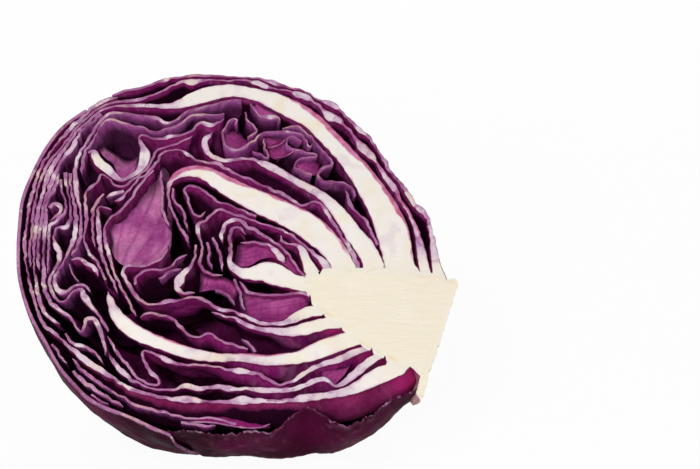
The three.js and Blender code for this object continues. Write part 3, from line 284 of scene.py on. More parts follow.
    "lower_leaf_3": (
        (54.6, -40, 2), (49.8, -42.6, 2.5), (46, -44, 3), (42.5, -45.9, 2.9), (38.5, -47.6, 2.5),
        (33.5, -49.3, 1.8), (29.4, -51.6, 1.9), (26.6, -53.5, 2.2), (23, -55.8, 1.4), (19.2, -56.9),
        (15.5, -55, 1.2), (11.8, -52.8, 1.3), (8.5, -52.1, 1.6), (4.8, -51.6, 3), (1.2, -51, 1.4),
        (-3, -49.8), (-9.7, -49), (-17.1, -48.8), (-22.5, -46.8, 2.3), (-26.4, -44.4), (-30.4, -43),
        (-31, -45.2), (-29.2, -49.5, 1.2), (-27.3, -52.4, 1.9), (-24.6, -54.8, 1.2), (-25, -57),
        (-28.5, -56.5), (-33.2, -53.2), (-37, -48), (-41, -42.8, 1.3), (-43.8, -37),
    ),
    "lower_leaf_4": (
        (59.4, -41.6, 2.6), (55, -45.4, 3), (51.4, -48, 3.5), (48.6, -50.6, 3.5), (45.6, -53.5, 2.9),
        (42.6, -56, 2.1), (39.8, -57.6, 1.2), (37.4, -56, 1.4), (35, -54.8, 2.3), (31.5, -55.8, 2.5),
        (27.5, -57.8, 2.1), (22, -59.2, 1.9), (16.5, -59.4, 2), (13, -59.2, 2.3), (8, -58.8, 1.5),
        (4.5, -58.8, 1.7), (1, -58.7, 2.8), (-2, -58, 2.3), (-6, -57.9, 1.4), (-11.5, -58.4, 2.1),
        (-14.7, -57.5, 2.1), (-18, -58.8), (-23, -59.2), (-28, -58.3), (-33.8, -55.5, 1.2), (-38, -51.6, 2.1),
        (-41.6, -47.4, 1.4), (-43.4, -44.4),
    ),
    "sheath_leaf_1": (
        (-59.6, -36), (-57, -39.6, 1.1), (-54, -41.2, 1.2), (-51, -41.6), (-48.4, -44.2), (-45.2, -47.8),
    ),
    "sheath_leaf_2": (
        (3.8, -72.8), (0, -71.9), (-5.9, -70.4), (-12.9, -70.8), (-17.9, -69.4), (-25, -67.4, 1.1),
        (-32.4, -65.4, 1.1), (-37.8, -62, 1.1), (-43.5, -58.2, 1.2), (-48.8, -54.4, 1.2), (-53.4, -50.2, 1.2),
        (-56.4, -46.4),
    ),
    "sheath_leaf_3": (
        (-55.8, -51.4), (-53.4, -54.6, 1.1), (-49.5, -57.5, 1.2), (-45.6, -60.2, 1.1), (-41, -63.4),
        (-37, -65.7),
    ),
    "sheath_leaf_4": (
        (-64.2, -40.4), (-61.6, -44.2, 1.4), (-58.6, -48.2, 1.2),
    ),
    "crumpled_leaf_1": (
        (46.8, 22.6), (45.6, 26), (43.2, 28), (38.6, 29), (34.4, 29.4), (32.6, 31.8), (34.6, 34.8, 1.2),
        (37.6, 36.6, 1.1), (37.8, 38.8), (35.6, 41.2), (34, 43.6), (30.8, 47.6), (28.2, 50.8), (24.8, 53.6),
        (22, 53.8), (18.8, 53),
    ),
    "crumpled_leaf_2": (
        (30.3, 31.8), (27, 33.2), (24.1, 35.5), (24.5, 38.2), (26.8, 39.9), (29.6, 39.8), (31.9, 40.2),
        (31.4, 41.9), (27.8, 42.1), (24.4, 43.2, 1.3), (21.2, 45, 1.2), (20, 47.3, 1.1), (21.9, 48.9),
        (24.2, 48.5), (26.2, 46.8),
    ),
    "crumpled_leaf_3": (
        (0.9, 54.6), (1.6, 56.6), (0.2, 57.2), (-2.2, 54.4), (-3.9, 50.5, 1.1), (-3.9, 47.6, 1.3),
        (-2.2, 44.8, 1.7), (1, 43, 1.9), (4.4, 44, 1.7), (7.8, 47, 1.2), (10.4, 50.2), (13, 51.4),
        (17.5, 51.2, 1.2), (21, 51.2, 1.7), (25, 50.7, 1.1), (27.4, 48.7), (28.3, 46), (29.6, 44.5),
        (30.6, 45.6),
    ),
    "crumpled_leaf_4": (
        (6.4, 64), (8, 61.6), (9.6, 59.4), (12, 58, 1.7), (15.2, 57.9, 2.2), (17.3, 57.8, 1.3), (18.1, 56.2),
        (17.4, 54.6),
    ),
    "crumpled_leaf_5": (
        (4.6, 60.2), (5.2, 57.4), (7, 54.6), (8.9, 52), (7.8, 50.2), (5.6, 48.8),
    ),
    "crumpled_leaf_6": (
        (7.7, 42.4), (10.6, 41), (13.4, 39.8), (13, 42), (12.3, 45), (11.8, 48.2, 1.1),
    ),
    "narrow_leaf": (
        (55.1, 1.4), (53.4, 5.2, 1.1), (52, 8.8, 1.2), (50.8, 11.8, 1.6), (48.8, 14.4, 1.1), (46.6, 15.8),
        (45.2, 18.6, 1.5), (44.2, 22), (43.2, 24.8),
    ),
    "second_rib_leaf": (
        (54, -13, 6), (53.2, -6.5, 7.6), (50, 0.3, 7.9), (46.9, 5, 7.2), (44.1, 10, 6.2), (41, 14.6, 5.4),
        (38, 18.6, 4.7), (34.5, 22.3, 4.1), (30, 25.6, 3.6), (25.5, 28.4, 3), (21.5, 31.2, 2.7),
        (18, 33.5, 3), (15, 35.2, 3.5), (12.2, 36.8, 3), (9.2, 38.4, 1.6), (5, 38.8, 1.6), (0, 38.3, 1.7),
        (-4.5, 38.9, 1.9), (-8, 40.5, 2), (-10.1, 43.4, 2.5), (-10.7, 46.6, 2.7), (-9.7, 49.2, 1.9),
        (-7.6, 51),
    ),
}

# Folds that lie between the leaves or grow out of them, drawn the same way.
FOLDS: dict[str, Line] = {
    "fold_strip_1": ((-40.6, 24.9, 1.3), (-43.6, 23.9, 1.6), (-47, 21.9)),
    "fold_strip_2": ((-59.6, -6.8), (-58.2, -11), (-55.8, -14.2)),
    "fold_strip_3": ((-26, -13.2), (-24.4, -12.4), (-22.6, -10.4), (-17.6, -9)),
    "fold_strip_4": ((-8.5, 2.5), (-7.6, -1.5), (-8, -5.5), (-6.4, -8.7)),
    "fold_strip_5": ((-6.6, 4.6), (-4.6, 0.5), (-3.4, -4.5), (-2.6, -9.3)),
    "fold_strip_6": ((2, -13.2), (3.3, -16.5), (4.6, -20.5), (5.2, -24), (6.2, -26.2)),
    "fold_strip_7": ((-5, -18), (-2, -18.5), (0.2, -20.8), (2.4, -24)),
    "fold_strip_8": ((10.2, -43.6), (8.8, -41.2), (7, -39.4), (5.2, -38.4)),
    "fold_strip_10": ((-48.8, -61), (-46, -63), (-42.6, -64.9)),
    "fold_strip_11": ((-16, -72.3), (-10, -73.2), (-3.6, -73.2)),
    "fold_strip_12": (
        (-23.2, 10.2), (-24.4, 12.2), (-25.9, 16.4, 1.3), (-25.9, 20.5), (-26.2, 24.9), (-26.5, 28.7),
        (-27, 31.6, 1.1), (-26.5, 34),
    ),
}

# Ends of leaves that are folded over: the cut edge, how far it goes up the face and how far back.
PETALS: dict[str, tuple[Line, float, float]] = {
    "petal_1": (
        ((-14, -72.2), (-8, -72), (-3.8, -72.4), (2, -73.6), (8, -74.4), (13.4, -74), (16, -72.8)), 4.6, 4.0,
    ),
    "petal_2": (((13.5, 44), (16, 44.6), (19, 46.2), (20.5, 48.5)), 3.4, 2.6),
    "petal_3": (((17, 39.6), (19.6, 40), (22.4, 41.6), (24, 43.6)), 3.0, 2.4),
}

# Broad stretches of leaf that face the front: lower border, upper border, depths, where the veins start.
SHEETS: dict[str, tuple[Line, Line, Point, tuple[float, float]]] = {
    "sheet_broad": (
        ((-44.8, 0.9), (-42.6, -4.6), (-39.6, -7.4), (-32.5, -7.5), (-26.7, -6), (-23.4, -3), (-22, 0.9)),
        ((-46.6, 6), (-42.8, 14.5), (-37, 21.3), (-31.3, 29.2), (-27.4, 35.6), (-25, 34.1), (-23, 28.8)),
        (1.4, 7.4, 4.4), (0.24, -0.25),
    ),
    "sheet_heart": (
        ((1.5, -7.6), (6.9, -7.8), (12, -4.7), (16.9, -4.3), (22.5, -9.4), (27, -13)),
        ((2.4, 1), (7.4, 3), (14.1, 2.6), (20.2, -0.9), (25.4, -6.9), (27.8, -10.9)),
        (0.9, 2.6, 4.2), (-0.3, 0.35),
    ),
    "sheet_fan": (
        ((4.6, -31), (10.5, -32.3), (18.6, -30.9), (26, -27.6), (29.8, -23.6)),
        ((4.8, -19), (10, -18.8), (18, -19.6), (25, -19.2), (29.8, -20.2)),
        (2.6, 4.0, 0.8), (-0.2, 0.3),
    ),
    "sheet_pocket": (
        (
            (-50.9, 43), (-48.4, 39.4), (-45.3, 36.8), (-43.8, 33.2), (-42.2, 30.6), (-40, 30.4),
            (-37.9, 32), (-35.9, 34.4),
        ),
        (
            (-50.2, 45.3), (-47.9, 43.5), (-45.5, 41.7), (-43.5, 40.2), (-41.9, 38.9), (-40, 38.4),
            (-38.5, 38.9), (-36.3, 40.6),
        ),
        (0.9, 3.0, 6.5), (0.3, -0.9),
    ),
    "sheet_curl": (
        ((-3.9, 49.3), (-3, 46.1), (-1.2, 44.3), (1.7, 43), (4.5, 44.3), (7.2, 46.5), (9.6, 48)),
        ((-3.1, 52.5), (-1.6, 53.2), (0.3, 53.2), (1.9, 52.3), (3.1, 50.5), (5.1, 47.8), (7.3, 47.6)),
        (0.9, 3.2, 7.0), (-0.4, 0.2),
    ),
    "sheet_ruffle": (
        ((11.5, 47.3), (12.8, 43), (14.3, 40.2), (17, 38.8), (20, 40), (22.5, 41.7)),
        ((11.4, 48.6), (13.4, 49.2), (16.5, 48.8), (19.2, 47.9), (20.7, 46.1), (22.7, 44.4)),
        (2.4, 3.2, 0.9), (-0.3, 0.4),
    ),
    "sheet_cup": (
        ((23.7, 36.3), (25.4, 34.7), (28.1, 32.9), (30.8, 31.6), (32.4, 32.3)),
        ((24.8, 38.3), (26.5, 40), (28.8, 40.5), (31.1, 39.1), (33.4, 37)),
        (0.8, 2.2, 4.8), (0.2, -0.4),
    ),
    "sheet_crown": (
        ((7.3, 63.2), (8.8, 60.2), (11.1, 57.7), (13.3, 56.8), (16.5, 58)),
        ((8.2, 64.9), (10.9, 63.1), (13.6, 61.3), (15.9, 60), (17.7, 58.7)),
        (0.9, 1.4, 0.8), (-0.3, 0.9),
    ),
    "sheet_vee": (
        ((33.9, -52.7), (36.4, -55.8), (39, -56.9), (40.4, -55.8), (43, -52.7), (45.1, -48.8)),
        ((34.2, -50.7), (37.5, -50.3), (41.1, -50.3), (44, -49.8), (45.5, -48.4)),
        (0.8, 2.2, 3.4), (0.2, -0.5),
    ),
    "sheet_crumple": (
        ((-11, -18.9), (-7.7, -18.1), (-4.8, -18), (-1, -19.3), (2.2, -23)),
        ((-10.9, -10.6), (-8.6, -11.7), (-5.7, -12.6), (-1.9, -12.6), (1.1, -14.4), (3.5, -18)),
        (0.9, 3.4, 1.2), (0.1, 1.3),
    ),
}

# Leaves that end a little way behind the face, by the start of their names.
SHORT_LEAVES = (
    "pocket_leaf_3", "pocket_leaf_4", "pocket_leaf_6", "fold_leaf_1", "fold_leaf_3", "fold_leaf_4",
    "fold_leaf_5", "inner_", "void_", "heart_", "fan_", "lower_leaf_2", "sheath_leaf_1", "sheath_leaf_3",
    "sheath_leaf_4", "crumpled_", "narrow_", "broad_",
)

# The outer wrapper's cut edge, and how far it reaches round the stem axis either way, in degrees.
WRAPPER_EDGE: Line = (
    (-57, 60.6), (-64.6, 53.8), (-70.2, 45.4), (-75.2, 33.2), (-78.6, 21), (-79.1, 10), (-79, 0),
    (-77.8, -12.5), (-74.5, -24), (-71, -32), (-66.4, -40), (-61, -49.8), (-55.5, -56.6), (-50.4, -62),
    (-44.4, -65.8), (-38.4, -68.4), (-31.8, -71.4), (-25.2, -74.8), (-19.6, -77.2),
)
WRAPPER_MARGINS: Line = (
    (17, 46, 150), (21, 36, 152), (27, 36, 148), (36, 40, 141), (48, 46, 136), (62, 54, 136), (72, 60, 140),
    (78, 62, 158), (80.5, 63, 180), (86, 64, 180), (98, 62, 180), (117, 55, 180), (131, 44, 180),
    (147, 30, 180), (152, 20, 180), (157, 0, 180), (180, 0, 180),
)

# The core's cut: pairs of points on its upper and lower edge, from the tip to the butt.
CORE_STATIONS: tuple[tuple[Point, Point], ...] = (
    ((28.2, -11.8), (28, -17)), ((31, -9.3), (30.6, -23.8)), ((38, -8.6), (35, -28.3)),
    ((46, -8.4), (41.5, -34.3)), ((54, -8.4), (50, -42)), ((62, -8.9), (58.5, -47.6)),
    ((70.5, -10.2), (66.5, -51.8)), ((78.5, -11), (69.9, -56)), ((82.8, -11.9), (68.6, -60.8)),
    ((85, -14.5), (70.4, -63.8)),
)


def smooth(value: Array | float, low: float, high: float) -> Array:
    """Rises smoothly from 0 at low to 1 at high.

    Args:
        value: The values to map.
        low: Where the rise begins.
        high: Where the rise ends.

    Returns:
        The risen values, between 0 and 1.
    """
    share = np.clip((np.asarray(value, dtype=float) - low) / (high - low), 0.0, 1.0)
    return share * share * (3.0 - 2.0 * share)


def places_at(at: Array, along: Array, places: Array) -> Array:
    """Gives the places at distances along a line, from those of its own places."""
    return np.c_[np.interp(at, along, places[:, 0]), np.interp(at, along, places[:, 1])]


@dataclass(frozen=True)
class Waves:
    """A smooth random field made of a few sine waves.

    Attributes:
        lengths: Shortest and longest wavelength, in millimetres.
        count: How many waves are added.
        seed: Seed of the draw.
    """

    lengths: tuple[float, float]
    count: int
    seed: int

    def at(self, points: Array, outputs: int = 1) -> Array:
        """Gives the field at the points.

        Args:
            points: Places, one row each.
            outputs: How many separate values each place gets.

        Returns:
            One row of values per place, each about -1 to 1.
        """
        draw = np.random.default_rng(self.seed)
        total = np.zeros((len(points), outputs))
        for _ in range(self.count):
            way = draw.normal(size=(points.shape[1],))
            length = math.exp(draw.uniform(math.log(self.lengths[0]), math.log(self.lengths[1])))
            way *= 2.0 * math.pi / length / np.linalg.norm(way)
            phase = draw.uniform(0.0, 2.0 * math.pi, size=(1, outputs))
            total += np.sin(points @ way[:, None] + phase) * draw.uniform(0.5, 1.0, size=(1, outputs))
        return total / math.sqrt(self.count)


@dataclass(frozen=True)
class Head:
    """The round shape of the head, and how a place on its cut face is carried back round it.

    Attributes:
        tilt: Angle between the face's normal and the ground.
        depth: From the cut face to the back.
        reach: Height over which the flattening of the underside dies out.
        close: How much the leaves close up behind the face.
        close_turn: The turn at which they have closed up, in degrees.
        centre: Where the face's centre lies along X, Y and Z.
        radii: Radius of the head on the face, every 15 degrees from a towards b.
        crumple: How far the leaves wave behind the face.
    """

    tilt: float = math.radians(50.0)
    depth: float = 76.0
    reach: float = 26.0
    close: float = 0.035
    close_turn: float = 15.0
    centre: Point = (-2.623, -8.179, 70.163)
    radii: Point = (
        77.3, 73.6, 70.2, 72.2, 75.4, 75.8, 77.6, 80, 81.8, 83.6, 83.5, 81.9,
        80, 79.4, 78.6, 79.6, 80, 79.2, 77.6, 77.4, 81.5, 87, 87, 81,
    )
    crumple: float = 1.5

    def radius(self, a: Array, b: Array) -> Array:
        """Gives the head's radius on the face in the direction of each place."""
        table = np.array(self.radii, dtype=float)
        count = len(table)
        place = np.degrees(np.arctan2(b, a)) % 360.0 / (360.0 / count)
        k = np.floor(place).astype(int)
        t = place - k
        p, q, r, s = (table[(k + step) % count] for step in (-1, 0, 1, 2))
        return q + 0.5 * t * (r - p + t * (2 * p - 5 * q + 4 * r - s + t * (3 * (q - r) + s - p)))

    @staticmethod
    def depth_share(share: Array) -> Array:
        """Gives the depth of the shell that meets the face at a share of the radius."""
        return np.sqrt(share * share + 0.04) / math.sqrt(1.04)

    def carry(self, a: Array, b: Array, turn: Array) -> Array:
        """Carries places of the face round the head.

        Args:
            a: Places along the face.
            b: Places up the face.
            turn: How far round each is carried, in degrees.

        Returns:
            Rows of a, b and depth.
        """
        share = np.hypot(a, b) / self.radius(a, b)
        close = 1.0 - self.close * np.minimum(1.0, turn / self.close_turn)
        cos, sin = np.cos(np.radians(turn)) * close, np.sin(np.radians(turn)) * close
        return np.c_[a * cos, b * cos, self.depth * self.depth_share(share) * sin]

    def outness(self, places: Array) -> Array:
        """Says how far out each place is, where 1 is the outside of the head."""
        a, b, depth = places.T
        return np.hypot(np.hypot(a, b) / self.radius(a, b), depth / self.depth)

    def wave(self, places: Array) -> Array:
        """Makes the leaves wave behind the face, all of them together, so that none meets another.

        Args:
            places: Rows of a, b and depth.

        Returns:
            The moved rows.
        """
        depth = places[:, 2]
        out = self.outness(places)
        size = self.crumple * smooth(depth, 0.0, 12.0) * (1.0 - smooth(out, 0.84, 0.97))
        shift = Waves((20.0, 46.0), 7, 11).at(places, 3) + 0.35 * Waves((10.0, 17.0), 7, 12).at(places, 3)
        moved = places + shift * size[:, None] * np.array([1.0, 1.0, 0.4])
        moved[:, 2] = np.where(depth > 0.0, np.maximum(moved[:, 2], 0.02), moved[:, 2])
        return moved

    def to_part(self, places: Array) -> Array:
        """Turns rows of a, b and depth into the part's frame, flattening the underside where it rests.

        Args:
            places: Rows of a, b and depth, in millimetres.

        Returns:
            Rows of X, Y and Z in metres.
        """
        a, b, depth = places.T
        sin, cos = math.sin(self.tilt), math.cos(self.tilt)
        y = b * sin + depth * cos
        z = b * cos - depth * sin
        under = self._under(a, y)
        height = z + self.centre[2]
        above = smooth((height - under) / self.reach, 0.0, 1.0)
        height = np.maximum(0.0, np.where(height < self.reach, height - under * (1.0 - above), height))
        return np.c_[a + self.centre[0], y + self.centre[1], height] * MM

    def _under(self, x: Array, y: Array) -> Array:
        """Gives the height of the round underside straight below each place, where it is under 0."""
        sin, cos = math.sin(self.tilt), math.cos(self.tilt)
        low = np.full(x.shape, -self.centre[2] - 30.0)
        high = np.full(x.shape, -self.centre[2] + 30.0)

        def outside(z: Array) -> Array:
            return self.outness(np.c_[x, y * sin + z * cos, y * cos - z * sin]) > 1.0

        never = outside(high)
        for _ in range(20):
            middle = (low + high) / 2.0
            out = outside(middle)
            low = np.where(out, middle, low)
            high = np.where(out, high, middle)
        return np.where(never, 0.0, np.minimum(0.0, low + self.centre[2]))


@dataclass
class CutLine:
    """The line that a leaf's cut edge follows on the face, drawn smoothly through its points.

    Attributes:
        name: The leaf's name.
        points: a, b and the thickness, from the core to the free end.
        blade: Thickness where a point gives none.
        step: Distance between the drawn places.
        packed_from: How far left of the middle leaves begin to be packed, and where all are.
        packed: How much thicker a packed blade is drawn.
        uneven: How much that varies along it.
        crown_thins: How much thinner the blades under the crown are.
    """

    name: str
    points: Line
    blade: float = 1.0
    step: float = 0.75
    packed_from: tuple[float, float] = (40.0, 52.0)
    packed: float = 0.14
    uneven: float = 0.42
    crown_thins: float = 0.26
    places: Array = field(init=False)
    thickness: Array = field(init=False)
    along: Array = field(init=False)

    def __post_init__(self) -> None:
        """Draws the curve and varies its thickness."""
        curve = self._curve()
        self.places, self.thickness = curve[:, :2].copy(), curve[:, 2].copy()
        self.measure()
        self._vary()

    def _curve(self) -> Array:
        """Gives a, b and the thickness at each drawn place, smoothly through the points."""
        knots = np.array([(p[0], p[1], p[2] if len(p) > 2 else self.blade) for p in self.points], dtype=float)
        first, last = 2 * knots[:1] - knots[1:2], 2 * knots[-1:] - knots[-2:-1]
        padded = np.concatenate([first, knots, last])
        rows = []
        for k in range(len(knots) - 1):
            p, q, r, s = padded[k:k + 4]
            gaps = [math.sqrt(math.dist(u[:2], v[:2])) + 1e-6 for u, v in ((p, q), (q, r), (r, s))]
            into = ((q - p) / gaps[0] - (r - p) / (gaps[0] + gaps[1]) + (r - q) / gaps[1]) * gaps[1]
            out = ((r - q) / gaps[1] - (s - q) / (gaps[1] + gaps[2]) + (s - r) / gaps[2]) * gaps[1]
            count = max(2, round(math.dist(q[:2], r[:2]) / self.step))
            t = np.arange(count)[:, None] / count
            curve = (
                (2 * t**3 - 3 * t**2 + 1) * q + (t**3 - 2 * t**2 + t) * into
                + (3 * t**2 - 2 * t**3) * r + (t**3 - t**2) * out
            )
            curve[:, 2] = (q[2] + (r[2] - q[2]) * smooth(t[:, 0], 0.0, 1.0))
            rows.append(curve)
        rows.append(knots[-1:])
        return np.concatenate(rows)

    def _vary(self) -> None:
        """Makes packed blades uneven along their length and thins the blades under the crown."""
        a, b = self.places.T
        own = np.full(len(a), 37.0 * sum(map(ord, self.name)))
        wave = Waves((9.0, 30.0), 7, 19).at(np.c_[self.along, own])[:, 0]
        packed = smooth(-a, *self.packed_from) * (1.0 - smooth(self.thickness, 1.6, 2.6))
        self.thickness *= 1.0 + packed * np.clip(self.packed + self.uneven * wave, -0.4, 0.9)
        crown = smooth(b, 32.0, 42.0) * smooth(a, -14.0, -4.0)
        self.thickness *= 1.0 - self.crown_thins * crown * (1.0 - smooth(self.thickness, 1.4, 2.2))

    def roughen(self, amount: float, more: float) -> None:
        """Lets the line of a thin leaf wander a little, as a blade cuts it.

        Args:
            amount: How far, in millimetres.
            more: How much further it wanders under the crown, as a share.
        """
        wander = Waves((2.6, 9.0), 8, 5).at(self.places, 1)
        a, b = self.places.T
        crown = smooth(b, 28.0, 40.0) * smooth(a, -20.0, -8.0) * (1.0 - smooth(np.hypot(a, b), 54.0, 61.0))
        size = (1.0 - smooth(self.thickness, 1.3, 3.0)) * (1.0 + more * crown)
        size *= amount * smooth(self.along, 0.0, 4.0)
        self.places = self.places + self.normals() * wander * size[:, None]
        self.measure()

    def measure(self) -> None:
        """Measures the distance of each place from the base."""
        steps = np.linalg.norm(np.diff(self.places, axis=0), axis=1)
        self.along = np.concatenate([[0.0], np.cumsum(steps)])

    def normals(self) -> Array:
        """Gives the direction across the leaf at each place, to the left of the way along it."""
        ahead = np.gradient(self.places, axis=0)
        ahead /= np.linalg.norm(ahead, axis=1, keepdims=True) + 1e-9
        return np.c_[-ahead[:, 1], ahead[:, 0]]


def keep_apart(lines: Sequence[CutLine], fixed: Sequence[CutLine], air: float = 0.16,
               rounds: int = 36) -> None:
    """Pushes touching leaves apart until there is a little air between them. Thick ribs hold still.

    Args:
        lines: The lines that may move.
        fixed: The lines that hold still.
        air: The gap that is wanted.
        rounds: How often they are pushed.
    """
    every = [*lines, *fixed]
    places = np.concatenate([line.places for line in every])
    thick = np.concatenate([line.thickness for line in every])
    owner = np.concatenate([np.full(len(line.places), k) for k, line in enumerate(every)])
    along = np.concatenate([line.along for line in every])
    tree = kdtree.KDTree(len(places))
    for k, place in enumerate(places):
        tree.insert((place[0], place[1], 0.0), k)
    tree.balance()
    pairs = []
    for k, place in enumerate(places):
        for _, other, _ in tree.find_range((place[0], place[1], 0.0), thick[k] / 2 + 4.5):
            own = owner[k] == owner[other]
            if not own or abs(along[k] - along[other]) > 3.0 + 1.3 * (thick[k] + thick[other]):
                pairs.append((k, other))
    one, two = np.array(pairs).T
    ends = np.cumsum([len(line.places) for line in every])[:-1]
    weight = thick**2
    give = weight[two] / (weight[one] + weight[two])
    give = np.where(owner[two] >= len(lines), 1.0, give)
    wanted = (thick[one] + thick[two]) / 2 + air
    for _ in range(rounds):
        gap = places[one] - places[two]
        distance = np.linalg.norm(gap, axis=1) + 1e-9
        short = np.maximum(0.0, wanted - distance)
        push = gap / distance[:, None] * (short * give * 0.5)[:, None]
        shift = np.zeros_like(places)
        hits = np.zeros(len(places))
        np.add.at(shift, one, push)
        np.add.at(hits, one, short > 0.0)
        shift /= np.maximum(1.0, hits)[:, None] * 0.6
        for part in np.split(shift, ends):
            part[1:-1] = 0.25 * part[:-2] + 0.5 * part[1:-1] + 0.25 * part[2:]
        places += np.where(owner[:, None] < len(lines), shift, 0.0)
    for line, part in zip(every, np.split(places, ends)):
        line.places = part.copy()
        line.measure()


class Graph:
    """The node tree of a material or a world, built up with short calls."""

    def __init__(self, name: str, world: bool = False) -> None:
        """Starts a material with one Principled shader, or a world with one background.

        Args:
            name: Its name.
            world: Whether it is a world.
        """
        self.material = (bpy.data.worlds if world else bpy.data.materials).new(name)
        self.material.use_nodes = True
        self.nodes = self.material.node_tree.nodes
        self.links = self.material.node_tree.links
        self.shader = self.nodes["Background" if world else "Principled BSDF"]

    def set(self, socket: str, value: object) -> None:
        """Sets a constant, or links a socket, on the shader.

        Args:
            socket: The shader's input.
            value: A number, a colour as six hex digits, or another node's output.
        """
        self.feed(self.shader.inputs[socket], value)

    def feed(self, target: Socket, value: object) -> None:
        """Links or sets one input."""
        if isinstance(value, Socket):
            self.links.new(value, target)
        elif isinstance(value, str):
            target.default_value = (*tone(value), 1.0)
        else:
            target.default_value = value

    def node(self, kind: str, inputs: dict[str | int, object], **options: str) -> bpy.types.Node:
        """Adds a node, sets its options and feeds its inputs."""
        node = self.nodes.new("ShaderNode" + kind)
        for option, value in options.items():
            setattr(node, option, value)
        for socket, value in inputs.items():
            self.feed(node.inputs[socket], value)
        return node

    def attribute(self, name: str) -> Socket:
        """Reads one of the piece's own values."""
        return self.node("Attribute", {}, attribute_name=name).outputs["Fac"]

    def place(self, stretch: Point = (1.0, 1.0, 1.0), lean: Point = (0.0, 0.0, 0.0)) -> Socket:
        """Gives Object coordinates, stretched and leaned.

        Args:
            stretch: Factor along X, Y and Z.
            lean: Turn about X, Y and Z, in radians.

        Returns:
            The coordinates.
        """
        where = self.node("TexCoord", {}).outputs["Object"]
        return self.node("Mapping", {"Vector": where, "Rotation": lean, "Scale": stretch}).outputs["Vector"]

    def along_leaf(self, across: float = 1.0, depth: float = 1.0) -> Socket:
        """Gives coordinates that follow the leaf: along it, back into the head, and its own number.

        Args:
            across: Factor on the distance along the leaf.
            depth: Factor on the distance into the head.

        Returns:
            The coordinates, in metres.
        """
        along = self.times(self.attribute("along"), across * MM)
        deep = self.times(self.attribute("deep"), depth * MM)
        return self.node("CombineXYZ", {0: along, 1: deep, 2: self.attribute("number")}).outputs[0]

    def noise(self, where: Socket, size_mm: float, detail: float = 3.0,
              rough: float = 0.5, twist: float = 0.0) -> Socket:
        """Gives a cloudy pattern.

        Args:
            where: The coordinates.
            size_mm: Rough size of its clouds, in millimetres.
            detail: How many finer layers it has.
            rough: How strong those are.
            twist: How far it is twisted.

        Returns:
            Values round 0.5.
        """
        inputs = {"Vector": where, "Scale": 1000.0 / size_mm, "Detail": detail, "Roughness": rough}
        return self.node("TexNoise", {**inputs, "Distortion": twist}).outputs["Fac"]

    def cells(self, where: Socket, size_mm: float) -> Socket:
        """Gives the distance to the edges of a net of cells, 0 on the edge.

        Args:
            where: The coordinates.
            size_mm: Rough size of a cell, in millimetres.

        Returns:
            The distance, in cells.
        """
        inputs = {"Vector": where, "Scale": 1000.0 / size_mm}
        return self.node("TexVoronoi", inputs, feature="DISTANCE_TO_EDGE").outputs["Distance"]

    def warped(self, where: Socket, size_mm: float, amount_mm: float) -> Socket:
        """Bends coordinates by a cloudy pattern.

        Args:
            where: The coordinates.
            size_mm: Rough size of the clouds.
            amount_mm: How far they bend.

        Returns:
            The bent coordinates.
        """
        noise = self.node("TexNoise", {"Vector": where, "Scale": 1000.0 / size_mm, "Detail": 1.0})
        inputs = {0: noise.outputs["Color"], 1: (amount_mm * MM,) * 3, 2: where}
        return self.node("VectorMath", inputs, operation="MULTIPLY_ADD").outputs[0]

    def math(self, operation: str, first: object, second: object = 0.0) -> Socket:
        """Does one sum on values."""
        return self.node("Math", {0: first, 1: second}, operation=operation).outputs[0]

    def times(self, first: object, second: object) -> Socket:
        """Multiplies two values."""
        return self.math("MULTIPLY", first, second)

    def plus(self, first: object, second: object) -> Socket:
        """Adds two values."""
        return self.math("ADD", first, second)

    def span(self, value: object, low: float, high: float, start: float = 0.0, end: float = 1.0) -> Socket:
        """Maps low to high onto start to end, smoothly and no further.

        Args:
            value: What is mapped.
            low: Where it starts.
            high: Where it ends.
            start: Result at low.
            end: Result at high.

        Returns:
            The mapped value.
        """
        inputs = {"Value": value, "From Min": low, "From Max": high, "To Min": start, "To Max": end}
        return self.node("MapRange", inputs, interpolation_type="SMOOTHSTEP").outputs["Result"]

    def mix(self, share: object, first: object, second: object, how: str = "MIX") -> Socket:
        """Blends two colours.

        Args:
            share: How much of the second.
            first: The first colour.
            second: The second colour.
            how: Way of blending.

        Returns:
            The blend.
        """
        inputs = {"Factor": share, "A": first, "B": second}
        return self.node("Mix", inputs, data_type="RGBA", blend_type=how).outputs["Result"]

    def bump(self, height: Socket, depth_mm: float) -> None:
        """Gives the shader a relief.

        Args:
            height: The relief, 0 to 1.
            depth_mm: Its depth, in millimetres.
        """
        node = self.node("Bump", {"Strength": 1.0, "Distance": depth_mm * MM, "Height": height})
        self.set("Normal", node.outputs["Normal"])

    def show(self, shader: bpy.types.Node, share: Socket) -> None:
        """Puts a share of another shader over the first one, as the result.

        Args:
            shader: The other shader.
            share: How much of it shows.
        """
        mixed = self.node("MixShader", {0: share, 1: self.shader.outputs[0], 2: shader.outputs[0]})
        end = next(node for node in self.nodes if node.name.endswith(" Output"))
        self.feed(end.inputs["Surface"], mixed.outputs[0])

    def let_light_in(self, weight: float, reach: Point, scale_mm: float) -> None:
        """Lets some light pass below the surface.

        Args:
            weight: How much.
            reach: How far red, green and blue go.
            scale_mm: What that is multiplied by, in millimetres.
        """
        self.set("Subsurface Weight", weight)
        self.set("Subsurface Radius", reach)
        self.set("Subsurface Scale", scale_mm * MM)


def tone(code: str) -> tuple[float, float, float]:
    """Turns a colour written as six hex digits into linear light.

    Args:
        code: The colour, such as "f0ebdd".

    Returns:
        Red, green and blue.
    """
    values = [int(code[k:k + 2], 16) / 255.0 for k in (0, 2, 4)]
    return tuple(v / 12.92 if v <= 0.04045 else ((v + 0.055) / 1.055) ** 2.4 for v in values)


